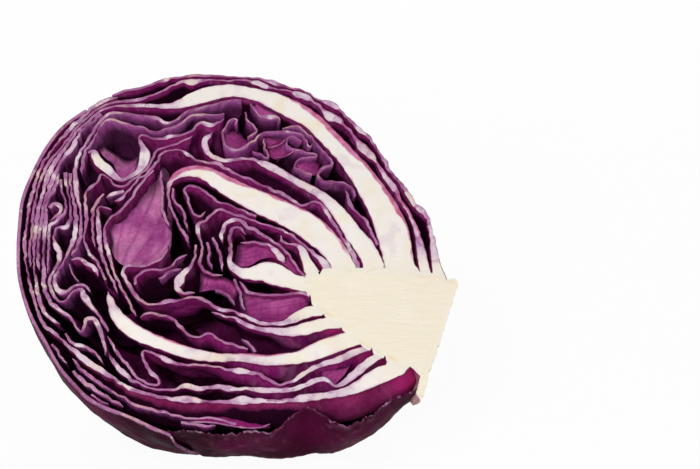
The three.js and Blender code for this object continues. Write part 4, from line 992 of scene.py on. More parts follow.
@dataclass(frozen=True)
class LeafSkin:
    """Purple skin of an inner leaf with a net of paler veins, painted light by its cut and painted shade
    deeper in.

    Attributes:
        name: The material's name.
        deep: Darkest tone.
        bright: Lightest tone of the blade.
        vein: Tone of the veins.
        rim: How much painted light, in the glow tone, it takes beside its cut edge.
        streaks: Strength of the streaks that run back from the cut.
        crimson: How crimson it is where it leaves the core.
        painted_rim_light: Tone of the painted light beside the cut edge.
        streak: Tone of the streaks.
        gap: Tone of the painted shade deep between the leaves.
        flush: Tone where a rib leaves the core.
    """

    name: str = "leaf_skin"
    deep: str = "560b3f"
    bright: str = "a52480"
    vein: str = "dba4cc"
    rim: float = 0.66
    streaks: float = 0.2
    crimson: float = 1.0
    painted_rim_light: str = "7c1658"
    streak: str = "bb509c"
    gap: str = "2a0720"
    flush: str = "bb2a78"

    def make(self) -> Material:
        """Builds the material."""
        g = Graph(self.name)
        where = g.place()
        leaf = g.along_leaf(1.0, 0.4)
        cloud = g.noise(where, 26.0, 4.0, 0.55, 0.4)
        colour = g.mix(g.span(cloud, 0.34, 0.62), self.deep, self.bright)
        streak = g.span(g.noise(g.along_leaf(1.0, 0.16), 2.6, 3.0), 0.36, 0.7)
        colour = g.mix(g.times(streak, self.streaks), colour, self.streak)
        wide = g.span(g.cells(g.warped(leaf, 9.0, 7.0), 13.0), 0.0, 0.1, 1.0, 0.0)
        fine = g.span(g.cells(g.warped(leaf, 4.0, 2.4), 4.2), 0.0, 0.14, 1.0, 0.0)
        strength = g.span(g.noise(where, 34.0, 2.0), 0.45, 0.7)
        colour = g.mix(g.times(wide, g.times(strength, 0.22)), colour, self.vein)
        colour = g.mix(g.times(fine, 0.05), colour, self.vein)
        colour = g.mix(g.times(g.attribute("vein"), 0.6), colour, self.deep)
        speck = g.span(g.noise(where, 1.3, 2.0), 0.35, 0.7, 0.86, 1.1)
        speck = g.node("CombineColor", dict.fromkeys(range(3), speck)).outputs[0]
        colour = g.mix(1.0, colour, speck, "MULTIPLY")
        # Painted light: within about 2 mm behind the cut edge the skin takes the lighter rim tone.
        edge = g.span(g.attribute("deep"), 0.1, 1.8, 1.0, 0.0)
        colour = g.mix(g.times(edge, self.rim), colour, self.painted_rim_light)
        # Painted shade: deeper behind the face, unevenly, the skin darkens to the gap tone, as strongly as
        # the piece's shade value says.
        uneven = g.plus(g.attribute("deep"), g.span(cloud, 0.3, 0.7, -1.6, 1.6))
        painted_gap_shade = g.span(uneven, 0.8, 7.0, 0.0, 0.92)
        colour = g.mix(g.times(painted_gap_shade, g.attribute("shade")), colour, self.gap)
        base = g.span(g.attribute("along"), 4.0, 12.0, 0.8, 0.0)
        base = g.times(base, g.span(g.attribute("thick"), 1.7, 2.6))
        colour = g.mix(g.times(base, self.crimson), colour, self.flush)
        g.set("Base Color", colour)
        g.set("Roughness", g.span(g.noise(where, 7.0, 3.0), 0.3, 0.7, 0.34, 0.5))
        g.set("IOR", 1.2)
        g.set("Specular IOR Level", 0.35)
        g.let_light_in(0.1, (0.9, 0.25, 0.6), 2.0)
        relief = g.times(g.plus(wide, fine), self.streaks)
        relief = g.plus(relief, g.times(g.noise(where, 5.0, 4.0), 0.9))
        g.bump(relief, 0.5)
        return g.material


# A lighter copy of the leaf skin for the lower sheath leaf, painted light on a band that the lamps barely
# reach.
PAINTED_LIT_SHEATH_SKIN = LeafSkin("sheath_skin", "6c1242", "a83474", "b9688f", rim=0.2, streaks=0.06)
# The ruffled skin paints a lilac light beside the cut edges of the crown leaves.
RUFFLED_SKIN = LeafSkin(
    "ruffled_leaf_skin", "521248", "a04c96", rim=0.8, streaks=0.4, crimson=0.0, painted_rim_light="ac62a2",
)
# Lit copies of the leaf skin for the sheets: the lightest, painted light, for those that catch the most
# light, a middle one for the rest.
PAINTED_LIT_SKIN = LeafSkin("painted_lit_leaf_skin", "963a80", "da88bc", "e6b6d4", rim=0.2, streaks=0.0, crimson=0.0)
FOLDED_SKIN = LeafSkin("folded_leaf_skin", "78205e", "b24c92", rim=0.2, streaks=0.0, crimson=0.0)


@dataclass(frozen=True)
class CutTissue:
    """Cut edge of a leaf: white in a thick rib, lilac in a thin blade, with purple skin either side.

    Attributes:
        name: The material's name.
        white: Tone of a rib.
        lilac: Tone of a blade.
        skin: Tone of the skin's cut.
        stain: Tone of the juice beside the skin.
        thin: Darkest and palest tone of a thin blade.
        middling: Darkest and palest tone of a thicker one.
        aged: Yellowish and pinkish tone of the patches in a rib.
        seeped: Darkest and palest tone of the juice that has seeped into a rib.
        base: Tone where a rib meets the core.
        strand: Tone of the fibres.
    """

    name: str = "cut_tissue"
    white: str = "ebe4de"
    lilac: str = "94608a"
    skin: str = "6d1048"
    stain: str = "c07ab0"
    thin: tuple[str, str] = ("7b366c", "dacdd1")
    middling: tuple[str, str] = ("a4729b", "d5c3ce")
    aged: tuple[str, str] = ("e6d3a4", "d3bccb")
    seeped: tuple[str, str] = ("b0306f", "c8689c")
    base: str = "ebe3d6"
    strand: str = "d9cdb4"

    def make(self) -> Material:
        """Builds the material."""
        g = Graph(self.name)
        where = g.place()
        across = g.attribute("across")
        thick = g.attribute("thick")
        near = g.times(g.math("MINIMUM", across, g.math("SUBTRACT", 1.0, across)), thick)
        ragged = g.times(g.math("SUBTRACT", g.noise(where, 1.6, 3.0), 0.5), 0.5)
        near = g.plus(near, ragged)
        blotch = g.plus(g.noise(where, 5.5, 5.0, 0.6), g.span(thick, 0.8, 2.0, -0.07, 0.12))
        thin = g.mix(g.span(blotch, 0.38, 0.5), self.thin[0], self.lilac)
        thin = g.mix(g.span(blotch, 0.55, 0.67), thin, self.thin[1])
        share = g.span(thick, 1.1, 2.4)
        body = g.mix(share, thin, g.mix(g.span(blotch, 0.46, 0.66), *self.middling))
        body = g.mix(g.span(thick, 3.0, 5.4), body, self.white)
        patch = g.noise(where, 11.0, 4.0)
        body = g.mix(g.span(patch, 0.5, 0.7, 0.0, 0.36), body, self.aged[0])
        body = g.mix(g.span(patch, 0.44, 0.3, 0.0, 0.4), body, self.aged[1])
        fibre = g.noise(g.along_leaf(0.12, 1.0), 0.5, 2.0)
        body = g.mix(g.times(g.span(fibre, 0.5, 0.8), 0.1), body, self.strand)
        wet = g.span(g.noise(where, 6.0, 2.0), 0.3, 0.7)
        stain = g.times(g.span(near, 0.25, 1.3, 1.0, 0.0), wet)
        body = g.mix(g.times(stain, 0.5), body, self.stain)
        beside = g.plus(g.times(g.math("SUBTRACT", 1.0, across), thick), ragged)
        width = g.span(g.noise(where, 16.0, 2.0), 0.36, 0.64, 0.3, 2.2)
        band = g.times(g.attribute("stain"), width)
        seep = g.span(g.math("SUBTRACT", beside, band), -0.5, 0.4, 0.9, 0.0)
        juice = g.mix(g.span(g.noise(where, 3.0, 3.0), 0.35, 0.65), *self.seeped)
        body = g.mix(seep, body, juice)
        base = g.span(g.attribute("along"), 4.0, 15.0, 1.0, 0.0)
        body = g.mix(g.times(base, g.span(thick, 2.0, 3.4)), body, self.base)
        width = g.span(thick, 1.0, 4.0, 0.16, 0.34)
        outline = g.math("SUBTRACT", 1.0, g.math("DIVIDE", near, width))
        colour = g.mix(g.span(outline, 0.0, 0.7), body, self.skin)
        g.set("Base Color", colour)
        g.set("Roughness", g.span(g.noise(where, 2.0, 3.0), 0.3, 0.7, 0.36, 0.6))
        g.set("Specular IOR Level", 0.4)
        g.let_light_in(0.25, (1.0, 0.8, 0.6), 1.5)
        g.bump(g.plus(g.noise(where, 1.2, 4.0), g.times(fibre, 0.4)), 0.12)
        return g.material


@dataclass(frozen=True)
class CoreTissue:
    """Cut stem: cream, with faint fibres, yellow strands along its border and a dry butt.

    Attributes:
        name: The material's name.
        cream: Main tone.
        strand: Tone of the strands.
    """

    name: str = "core_tissue"
    cream: str = "ebe2cf"
    strand: str = "e2c27e"

    def make(self) -> Material:
        """Builds the material."""
        g = Graph(self.name)
        where = g.place()
        fibre = g.noise(g.place((0.16, 1.0, 1.0), (0.0, 0.35, 0.0)), 1.6, 4.0)
        colour = g.mix(g.times(g.span(fibre, 0.45, 0.75), 0.3), self.cream, "e9dcbc")
        cloud = g.noise(where, 12.0, 3.0)
        colour = g.mix(g.times(g.span(cloud, 0.45, 0.75), 0.3), colour, "f0e9da")
        border = g.plus(g.attribute("border"), g.times(g.noise(where, 5.0, 3.0), 3.4))
        line = g.times(g.span(border, 2.2, 3.0), g.span(border, 3.0, 4.6, 1.0, 0.0))
        broken = g.span(g.noise(where, 7.0, 3.0), 0.44, 0.6)
        colour = g.mix(g.times(line, g.times(broken, 0.6)), colour, self.strand)
        ragged = g.times(g.noise(where, 4.0, 3.0), 4.0)
        outer = g.span(g.plus(g.attribute("border"), ragged), 2.0, 6.0, 0.7, 0.0)
        colour = g.mix(outer, colour, "ebe4d9")
        dry = g.span(g.attribute("butt"), 0.2, 1.0)
        brown = g.mix(g.span(g.noise(where, 3.0, 4.0), 0.35, 0.7), "e6d3a6", "b98f54")
        colour = g.mix(g.times(dry, 0.55), colour, brown)
        back = g.attribute("back")
        hidden = g.times(back, g.attribute("inside"))
        colour = g.mix(g.times(back, 0.7), colour, g.mix(cloud, "dcc9ae", "a8848c"))
        colour = g.mix(hidden, colour, "9c2266")
        g.set("Base Color", colour)
        g.set("Roughness", g.span(g.noise(where, 3.0, 3.0), 0.3, 0.7, 0.4, 0.6))
        g.set("Specular IOR Level", 0.4)
        g.let_light_in(0.25, (1.0, 0.8, 0.5), 2.0)
        g.bump(g.plus(fibre, g.times(g.noise(where, 1.0, 4.0), 0.6)), 0.16)
        return g.material


@dataclass(frozen=True)
class WrapperSkin:
    """Skin of the outer leaves: dusky purple with a dusty bloom and paler veins.

    Attributes:
        name: The material's name.
        deep: Darkest tone.
        bright: Lightest tone.
        bloom: Tone of the bloom.
        vein: Tone of the veins.
        torn: Tone of the torn margin.
    """

    name: str = "wrapper_skin"
    deep: str = "2a0416"
    bright: str = "520f34"
    bloom: str = "5c1a40"
    vein: str = "93507a"
    torn: str = "b98fae"

    def make(self) -> Material:
        """Builds the material."""
        g = Graph(self.name)
        where = g.place()
        cloud = g.noise(where, 34.0, 5.0, 0.55, 0.5)
        colour = g.mix(g.span(cloud, 0.3, 0.7), self.deep, self.bright)
        dust = g.times(g.span(g.noise(where, 16.0, 5.0, 0.6), 0.42, 0.7), 0.3)
        colour = g.mix(dust, colour, self.bloom)
        net = g.span(g.cells(g.warped(where, 6.0, 4.0), 7.0), 0.0, 0.07, 1.0, 0.0)
        colour = g.mix(g.times(g.span(g.attribute("vein"), 0.15, 0.9), 0.6), colour, self.vein)
        edge = g.span(g.attribute("margin"), 0.4, 1.2, 1.0, 0.0)
        pale = g.span(g.noise(where, 6.0, 4.0), 0.44, 0.62, 0.1, 0.8)
        colour = g.mix(g.times(edge, pale), colour, self.torn)
        g.set("Base Color", colour)
        g.set("Roughness", g.span(g.noise(where, 9.0, 4.0), 0.3, 0.7, 0.42, 0.62))
        g.set("IOR", 1.14)
        g.set("Specular IOR Level", 0.08)
        g.bump(g.plus(g.times(net, 0.25), g.noise(where, 4.0, 5.0)), 0.5)
        return g.material


def in_scene(name: str, data: bpy.types.ID) -> bpy.types.Object:
    """Makes an object and puts it into the scene."""
    thing = bpy.data.objects.new(name, data)
    bpy.context.scene.collection.objects.link(thing)
    return thing


@dataclass
class Block:
    """A closed block of faces that is shaped by moving its vertices, and the values they carry.

    Attributes:
        columns: Number of faces across.
        rows: Number of faces the other way.
        layers: Number of faces through its walls.
    """

    columns: int
    rows: int
    layers: int = 1
    mesh: bmesh.types.BMesh = field(init=False)

    def __post_init__(self) -> None:
        """Makes the block from a grid and its extrusion."""
        self.mesh = bmesh.new()
        bmesh.ops.create_grid(self.mesh, x_segments=self.columns, y_segments=self.rows, size=0.5)
        grown = bmesh.ops.extrude_face_region(self.mesh, geom=self.mesh.faces[:], use_keep_orig=True)
        top = [item for item in grown["geom"] if isinstance(item, bmesh.types.BMVert)]
        bmesh.ops.translate(self.mesh, vec=(0.0, 0.0, 1.0), verts=top)
        if self.layers > 1:
            upright = [e for e in self.mesh.edges if abs(e.verts[0].co.z - e.verts[1].co.z) > 0.5]
            bmesh.ops.subdivide_edges(self.mesh, edges=upright, cuts=self.layers - 1)
        bmesh.ops.recalc_face_normals(self.mesh, faces=self.mesh.faces[:])

    def finish(self, name: str, shape: Callable[[Array, Array, Array], Shaped],
               slots: Callable[[Array, Array, Array], Array], materials: Sequence[Material],
               weld: float = 0.0, corner: float = 180.0) -> bpy.types.Object:
        """Moves the vertices, gives them their values and makes the object.

        Args:
            name: The piece's name.
            shape: Takes the vertices' shares across, along and through; gives places in metres and values.
            slots: Takes the same shares at the middle of each face and gives its material's number.
            materials: The materials.
            weld: Distance under which vertices are merged afterwards.
            corner: Angle over which an edge is crisp, in degrees.

        Returns:
            The piece.
        """
        mesh = bpy.data.meshes.new(name)
        self.mesh.to_mesh(mesh)
        self.mesh.free()
        count = len(mesh.vertices)
        flat = np.empty(count * 3)
        mesh.vertices.foreach_get("co", flat)
        shares = flat.reshape(-1, 3) + np.array([0.5, 0.5, 0.0])
        middles = np.empty(len(mesh.polygons) * 3)
        mesh.polygons.foreach_get("center", middles)
        numbers = slots(*(middles.reshape(-1, 3) + np.array([0.5, 0.5, 0.0])).T)
        places, values = shape(*shares.T)
        mesh.vertices.foreach_set("co", places.ravel())
        for key, value in values.items():
            layer = mesh.attributes.new(key, "FLOAT", "POINT")
            layer.data.foreach_set("value", np.broadcast_to(value, (count,)).astype(np.float32))
        mesh.polygons.foreach_set("material_index", numbers.astype(np.int32))
        mesh.polygons.foreach_set("use_smooth", np.ones(len(mesh.polygons), dtype=bool))
        for material in materials:
            mesh.materials.append(material)
        mesh.update()
        return self._closed(name, mesh, weld, corner)

    @staticmethod
    def _closed(name: str, mesh: bpy.types.Mesh, weld: float, corner: float) -> bpy.types.Object:
        """Merges what meets, turns the faces outwards and makes corners crisp."""
        work = bmesh.new()
        work.from_mesh(mesh)
        if weld > 0.0:
            bmesh.ops.remove_doubles(work, verts=work.verts[:], dist=weld)
            bmesh.ops.dissolve_degenerate(work, edges=work.edges[:], dist=weld / 2)
        if work.calc_volume(signed=True) < 0.0:
            bmesh.ops.reverse_faces(work, faces=work.faces[:])
        for edge in work.edges:
            faces = edge.link_faces
            if len(faces) == 2 and faces[0].material_index != faces[1].material_index:
                edge.smooth = faces[0].normal.dot(faces[1].normal) > 0.6
            elif corner < 180.0 and edge.calc_face_angle(0.0) > math.radians(corner):
                edge.smooth = False
        work.to_mesh(mesh)
        work.free()
        return in_scene(name, mesh)


def place_piece(piece: bpy.types.Object, node: str | None) -> None:
    """Lets a piece ride on the head and stand for a CAD node.

    Args:
        piece: The piece.
        node: The node that it replaces, if there is one.
    """
    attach(piece, "root")
    if node is not None:
        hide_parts(node)
    LOG.info("%s: %d faces", piece.name, len(piece.data.polygons))


@dataclass
class Leaf:
    """One leaf inside the head.

    Attributes:
        line: Where its cut edge runs.
        head: The head it belongs to.
        number: A number that makes its pattern its own.
        reach: How far round the head it goes.
        slot: The record's material slot. Not used.
        rib_depth: Depth over which a cut rib thins to the blade.
        stain: Strength of the pink stain on the right side of its cut.
        flare: How far it swings outwards behind its cut, as a share of the head's radius.
        shade: How strongly painted shade darkens its skin behind the face.
        painted_far_shade: How much more painted shade it takes there, far from the core.
        kept_in: Share of the head's radius that it stays within behind the face.
        tip: Distance from the free end over which it thins.
        swell: How much a rib widens at the core, and over which distances from it, in two steps.
        turns: How far round the head each row of faces lies.
    """

    line: CutLine
    head: Head
    number: float
    reach: Reach = Reach.FULL
    slot: str = "leaf"
    rib_depth: float = 11.0
    stain: float = 0.0
    shade: float = 1.0
    painted_far_shade: float = 0.0
    flare: float = 0.0
    kept_in: float = 0.962
    tip: float = 2.2
    swell: Line = ((0.22, 0.0, 9.0), (0.34, 1.0, 6.5))
    turns: Point = (
        0.0, 0.3, 0.8, 1.6, 2.8, 4.4, 6.4, 8.8, 11.6, 15.0, 18.6, 22.4, 26.4, 30.4, 34.6, 38.8, 43.0,
        48.0, 54.0, 61.0, 68.0, 76.0,
    )

    def rows(self) -> Array:
        """Gives the turn of each row."""
        return np.array([turn for turn in self.turns if turn <= self.reach.value])

    def edges(self, turn: float) -> tuple[Array, Array]:
        """Gives the two sides of the leaf at a turn, on the face.

        Args:
            turn: How far round the head, in degrees.

        Returns:
            The left and the right side.
        """
        line = self.line
        depth = INNER_DEPTH * math.sin(math.radians(turn))
        blade = np.minimum(line.thickness, 1.3 * line.blade)
        thick = blade + (line.thickness - blade) * math.exp(-((depth / self.rib_depth) ** 2))
        left_over = line.along[-1] - line.along
        thick = thick * (0.3 + 0.7 * smooth(left_over, 0.0, self.tip))
        base = sum(more * (1.0 - smooth(line.along, near, far)) for more, near, far in self.swell)
        thick = thick * (1.0 + base * smooth(thick, 1.6, 2.6))
        own, back = np.full(len(thick), self.number * 31.0), np.full(len(thick), depth * 0.6)
        where = np.c_[line.along, own, back]
        uneven = Waves((2.2, 9.0), 6, 21).at(where, 2)
        loss = np.clip(0.4 * uneven, -0.3, 0.55) / (1.0 + 0.8 * np.maximum(0.0, thick - 1.2))[:, None]
        across = line.normals() * (thick / 2)[:, None]
        return line.places + across * (1.0 - loss[:, :1]), line.places - across * (1.0 - loss[:, 1:])

    def ends_at(self, turn: Array) -> Array:
        """Gives the share of the leaf's length that is left at a turn, where its free end draws back."""
        depth = INNER_DEPTH * np.sin(np.radians(turn))
        wave = 0.5 + 0.5 * np.sin(depth / 6.5 + self.number * 2.1)
        shorter = 2.6 * wave * smooth(depth, 0.0, 7.0)
        return 1.0 - np.minimum(0.25, shorter / self.line.along[-1])

    def shape(self, u: Array, v: Array, w: Array) -> Shaped:
        """Places the leaf's vertices.

        Args:
            u: Share of the way along the leaf.
            v: Share of the rows into the head.
            w: 0 on its left side, 1 on its right.

        Returns:
            Places in metres and the values for the materials.
        """
        rows = self.rows()
        row = np.rint(v * (len(rows) - 1)).astype(int)
        turn = rows[row]
        full = self.line.along[-1]
        reach = u * full * self.ends_at(turn)
        face = np.zeros((len(u), 2))
        for k, value in enumerate(rows):
            left, right = self.edges(float(value))
            for side, line in ((w < 0.5, left), (w >= 0.5, right)):
                pick = side & (row == k)
                face[pick] = places_at(reach[pick], self.line.along, line)
        places = self.carried(face, turn, reach)
        thick = np.interp(reach, self.line.along, self.line.thickness)
        # The shade value sets how strongly painted shade darkens the skin; dusk adds more of it far from the
        # core.
        values = {
            "along": reach, "deep": places[:, 2], "across": w, "thick": thick,
            "number": self.number, "vein": 0.0,
            "stain": self.stain * smooth(reach, 3.0, 12.0) * (1.0 - smooth(reach, 84.0, 100.0)),
            "shade": self.shade + self.painted_far_shade * smooth(reach, 16.0, 58.0),
        }
        return self.head.to_part(places), values

    def carried(self, face: Array, turn: Array, reach: Array) -> Array:
        """Carries places on the face back round the head.

        Args:
            face: Rows of a and b.
            turn: How far round each goes.
            reach: Distance of each from the leaf's base.

        Returns:
            Rows of a, b and depth.
        """
        full = self.line.along[-1]
        swing = self.flare * smooth(turn, 0.0, 10.0) * (1.0 - smooth(reach / full, 0.36, 0.54))
        face = face * (1.0 + swing * (1.0 - smooth(turn, 16.0, 34.0)))[:, None]
        places = self.head.wave(self.head.carry(face[:, 0], face[:, 1], turn))
        end = 8.0 + 16.0 * smooth(reach, 14.0, 34.0)
        limit = self.kept_in + 0.12 * (1.0 - smooth(turn / end, 0.4, 1.0)) - 0.014 * smooth(turn, 40.0, 60.0)
        return places * np.minimum(1.0, limit / self.head.outness(places))[:, None]

    def slots(self, u: Array, v: Array, w: Array) -> Array:
        """Gives 1 for the cut edge and 0 for the skin."""
        return np.where(v < 1e-4, 1, 0)

    def build(self, skin: Material, cut: Material) -> bpy.types.Object:
        """Builds the leaf.

        Args:
            skin: Material of its skin.
            cut: Material of its cut edge.

        Returns:
            The piece.
        """
        block = Block(len(self.line.along) - 1, len(self.rows()) - 1)
        piece = block.finish(self.line.name + "_skin", self.shape, self.slots, (skin, cut))
        place_piece(piece, None if self.reach is Reach.STRIP else self.line.name)
        return piece


@dataclass
class Petal(Leaf):
    """The end of a leaf folded over towards the front, so that its skin catches the light.

    Attributes:
        rise: How far it goes up the face from its cut edge.
        sink: How far it goes back.
    """

    reach: Reach = Reach.STRIP
    rise: float = 4.0
    sink: float = 3.0

    def carried(self, face: Array, turn: Array, reach: Array) -> Array:
        """Leans the leaf up the face instead of carrying it round the head."""
        share = turn / Reach.STRIP.value
        full = self.line.along[-1]
        arch = np.sin(np.pi * np.clip(reach / full, 0.0, 1.0)) ** 0.7
        ripple = 0.25 * np.sin(reach * 1.1 + self.number) * share
        up = self.rise * arch * np.sin(share * np.pi / 2) + ripple
        back = self.sink * (1.0 - np.cos(share * np.pi / 2)) + 1.4 * share
        return np.c_[face[:, 0], face[:, 1] + up, back]


@dataclass
class Sheet:
    """A broad stretch of leaf behind the cut that faces the front, between two lines seen on the face.

    Attributes:
        name: The piece's name.
        lower: The line along its lower border, from left to right.
        upper: The line along its upper border, from left to right.
        head: The head it belongs to.
        depths: How deep its lower border, its middle and its upper border lie.
        root: Where its veins fan out from, as shares of its width and height.
        lean: How far a place moves up the face for each step of depth, to stay where it is seen.
        thickness: Its thickness.
        grid: Number of faces across and up.
    """

    name: str
    lower: CutLine
    upper: CutLine
    head: Head
    depths: Point
    root: tuple[float, float] = (0.1, -0.3)
    lean: float = 0.577
    thickness: float = 0.7
    grid: tuple[int, int] = (72, 56)

    def fan(self, u: Array, v: Array) -> Array:
        """Gives the strength of veins that fan out from the root and branch."""
        across, up = (u - self.root[0]) * 1.1, v - self.root[1]
        way, far = np.arctan2(across, up), np.hypot(across, up)
        bend = way + 0.1 * np.sin(far * 3.0 + 0.6) + 0.012 * np.sin(far * 15.0)
        total = np.zeros_like(u)
        for pitch, start, width, strength in ((0.34, 0.0, 0.024, 0.9), (0.17, 0.6, 0.014, 0.45)):
            away = np.abs(bend / pitch - np.rint(bend / pitch)) * pitch * far
            total += np.exp(-((away / width) ** 2)) * smooth(far, start, start + 0.25) * strength
        return np.clip(total, 0.0, 1.0)

    def shape(self, u: Array, v: Array, w: Array) -> Shaped:
        """Places the sheet's vertices.

        Args:
            u: Share of the way from left to right.
            v: Share of the way from the lower to the upper border.
            w: 0 in front, 1 behind.

        Returns:
            Places in metres and the values for the materials.
        """
        borders = (self.lower, self.upper)
        low, high = (places_at(u * line.along[-1], line.along, line.places) for line in borders)
        near, middle, far = self.depths
        depth = near + (far - near) * v + (middle - (near + far) / 2) * 4.0 * v * (1.0 - v)
        seen = low + (high - low) * v[:, None]
        field = np.c_[seen, np.full(len(u), self.depths[1])]
        soft = Waves((7.0, 18.0), 7, 61).at(field)[:, 0] * 0.9
        soft += Waves((3.0, 6.0), 7, 62).at(field)[:, 0] * 0.07
        vein = self.fan(u, v)
        depth = depth + (soft - 0.1 * vein) * smooth(v, 0.0, 0.12) + self.thickness * w
        depth = np.maximum(depth, 0.05 + self.thickness * w)
        places = np.c_[seen[:, 0], seen[:, 1] + self.lean * depth, depth]
        width = self.lower.along[-1]
        # Painted shade: a made-up depth towards the upper border and the ends darkens the sheet's skin there.
        painted_border_shade = np.maximum(smooth(v, 0.6, 1.0), 1.0 - smooth(np.minimum(u, 1.0 - u), 0.0, 0.16))
        values = {
            "along": u * width, "deep": 0.6 * smooth(v, 0.0, 0.1) + 5.4 * painted_border_shade, "across": w,
            "thick": 1.0, "number": 411.0, "stain": 0.0,
            "shade": 1.0, "vein": vein,
        }
        return self.head.to_part(places), values

    def build(self, skin: Material) -> bpy.types.Object:
        """Builds the sheet."""
        piece = Block(*self.grid).finish(self.name, self.shape, lambda u, v, w: np.zeros(len(u)), (skin,))
        place_piece(piece, None)
        return piece


@dataclass(frozen=True)
class Veins:
    """Relief of a midrib with side veins that leave it forwards.

    Attributes:
        spacing: Distance between side veins along the midrib.
        lean: How much they run forwards for each step outwards.
        seed: Shifts the veins on either side.
    """

    spacing: float = 15.0
    lean: float = 0.75
    seed: float = 0.3

    def height(self, s: Array, t: Array) -> Array:
        """Gives the relief.

        Args:
            s: Distance from the base, along the midrib.
            t: Distance from the midrib, to either side.

        Returns:
            About 0 to 1.
        """
        side = np.abs(t)
        wide = 1.2 + 3.4 * np.exp(-s / 55.0)
        rib = np.exp(-((side / wide) ** 2)) * (0.45 + 0.55 * np.exp(-s / 80.0))
        shift = np.where(t > 0.0, 0.0, 0.47) + self.seed
        flow = (s - self.lean * side - 0.0045 * side**2) / self.spacing + shift
        flow += 0.09 * np.sin(side / 9.0 + np.floor(flow) * 2.3)
        away = np.abs(flow - np.rint(flow)) * self.spacing
        branch = np.exp(-((away / 1.7) ** 2)) * np.exp(-side / 60.0) * smooth(side, 1.0, 5.0)
        cross = (s + 0.35 * side) / 8.5 + 0.25 * np.sin(side / 6.0) + shift * 2.0
        small = np.exp(-((np.abs(cross - np.rint(cross)) * 8.5 / 1.3) ** 2)) * smooth(side, 6.0, 14.0)
        return np.clip(rib + 0.62 * branch + 0.2 * small, 0.0, 1.2)


@dataclass
class OuterLeaf(Leaf):
    """An outer leaf whose cut edge lies on the face and whose waves run out behind it.

    Attributes:
        outer: The side that shows outside.
        veins: Its relief.
        stand_out: How far it stands out past the head where the outer wrapper leaves it bare.
        bare_from: The range of a over which that begins.
        bulge: How much further it bulges out towards the stump.
        torn: How ragged its front margin is.
        midrib: Where its midrib runs, as the distance of the face from it.
    """

    slot: str = "wrapper"
    kept_in: float = 9.0
    outer: Side = Side.RIGHT
    veins: Veins = Veins()
    stand_out: float = 0.0
    bare_from: tuple[float, float] = (-17.0, -9.0)
    bulge: float = 0.0
    torn: float = 0.0
    midrib: float = -6.0

    def carried(self, face: Array, turn: Array, reach: Array) -> Array:
        """Lets the waves of the cut edge run out behind the face, so that the head is round outside."""
        own = self.line.places
        own_share = np.hypot(own[:, 0], own[:, 1]) / self.head.radius(own[:, 0], own[:, 1])
        share = np.interp(reach, self.line.along, own_share)
        behind = smooth(turn, 0.0, 8.0) * (1.0 - smooth(turn, 28.0, 46.0))
        bulge = self.bulge * smooth(face[:, 0], 0.0, 30.0) * (1.0 - smooth(face[:, 0], 40.0, 74.0))
        wanted = 0.99 + (self.stand_out * smooth(face[:, 0], *self.bare_from) + bulge) * behind
        face = face * (1.0 + (wanted - share) * smooth(turn, 0.0, 20.0))[:, None]
        places = super().carried(face, turn, reach)
        near = 1.0 - smooth(turn, 0.0, 7.0)
        tear = Waves((1.6, 11.0), 8, 47).at(np.c_[reach, 0.0 * reach], 2)
        places[:, 1] += self.torn * near * tear[:, 0]
        places[:, 2] += self.torn * near * np.abs(tear[:, 1]) * 1.6
        return places

    def shape(self, u: Array, v: Array, w: Array) -> Shaped:
        """Adds the relief of the veins outside."""
        places, values = super().shape(u, v, w)
        lateral = values["deep"] * 1.15 + self.midrib
        height = self.veins.height(values["along"], lateral)
        middle = np.array(self.head.centre) * MM
        away = places - middle
        away /= np.linalg.norm(away, axis=1, keepdims=True)
        outside = (w < 0.5) if self.outer is Side.LEFT else (w >= 0.5)
        lift = height * 0.5 * MM * smooth(values["deep"], 1.0, 8.0) * outside
        places = places + away * lift[:, None]
        places[:, 2] = np.maximum(places[:, 2], 0.0)
        values["vein"] = height
        values["margin"] = np.minimum(values["along"].max() - values["along"], values["deep"] + 0.6)
        return places, values

    def slots(self, u: Array, v: Array, w: Array) -> Array:
        """Gives 1 for the cut edge, 2 for the outside and 0 for the inside."""
        outside = (w < 0.01) if self.outer is Side.LEFT else (w > 0.99)
        return np.where(v < 1e-4, 1, np.where(outside, 2, 0))

    def dress(self, skin: Material, cut: Material, outside: Material) -> None:
        """Builds the leaf with its three materials."""
        block = Block(len(self.line.along) - 1, len(self.rows()) - 1)
        piece = block.finish(self.line.name + "_skin", self.shape, self.slots, (skin, cut, outside))
        place_piece(piece, self.line.name)


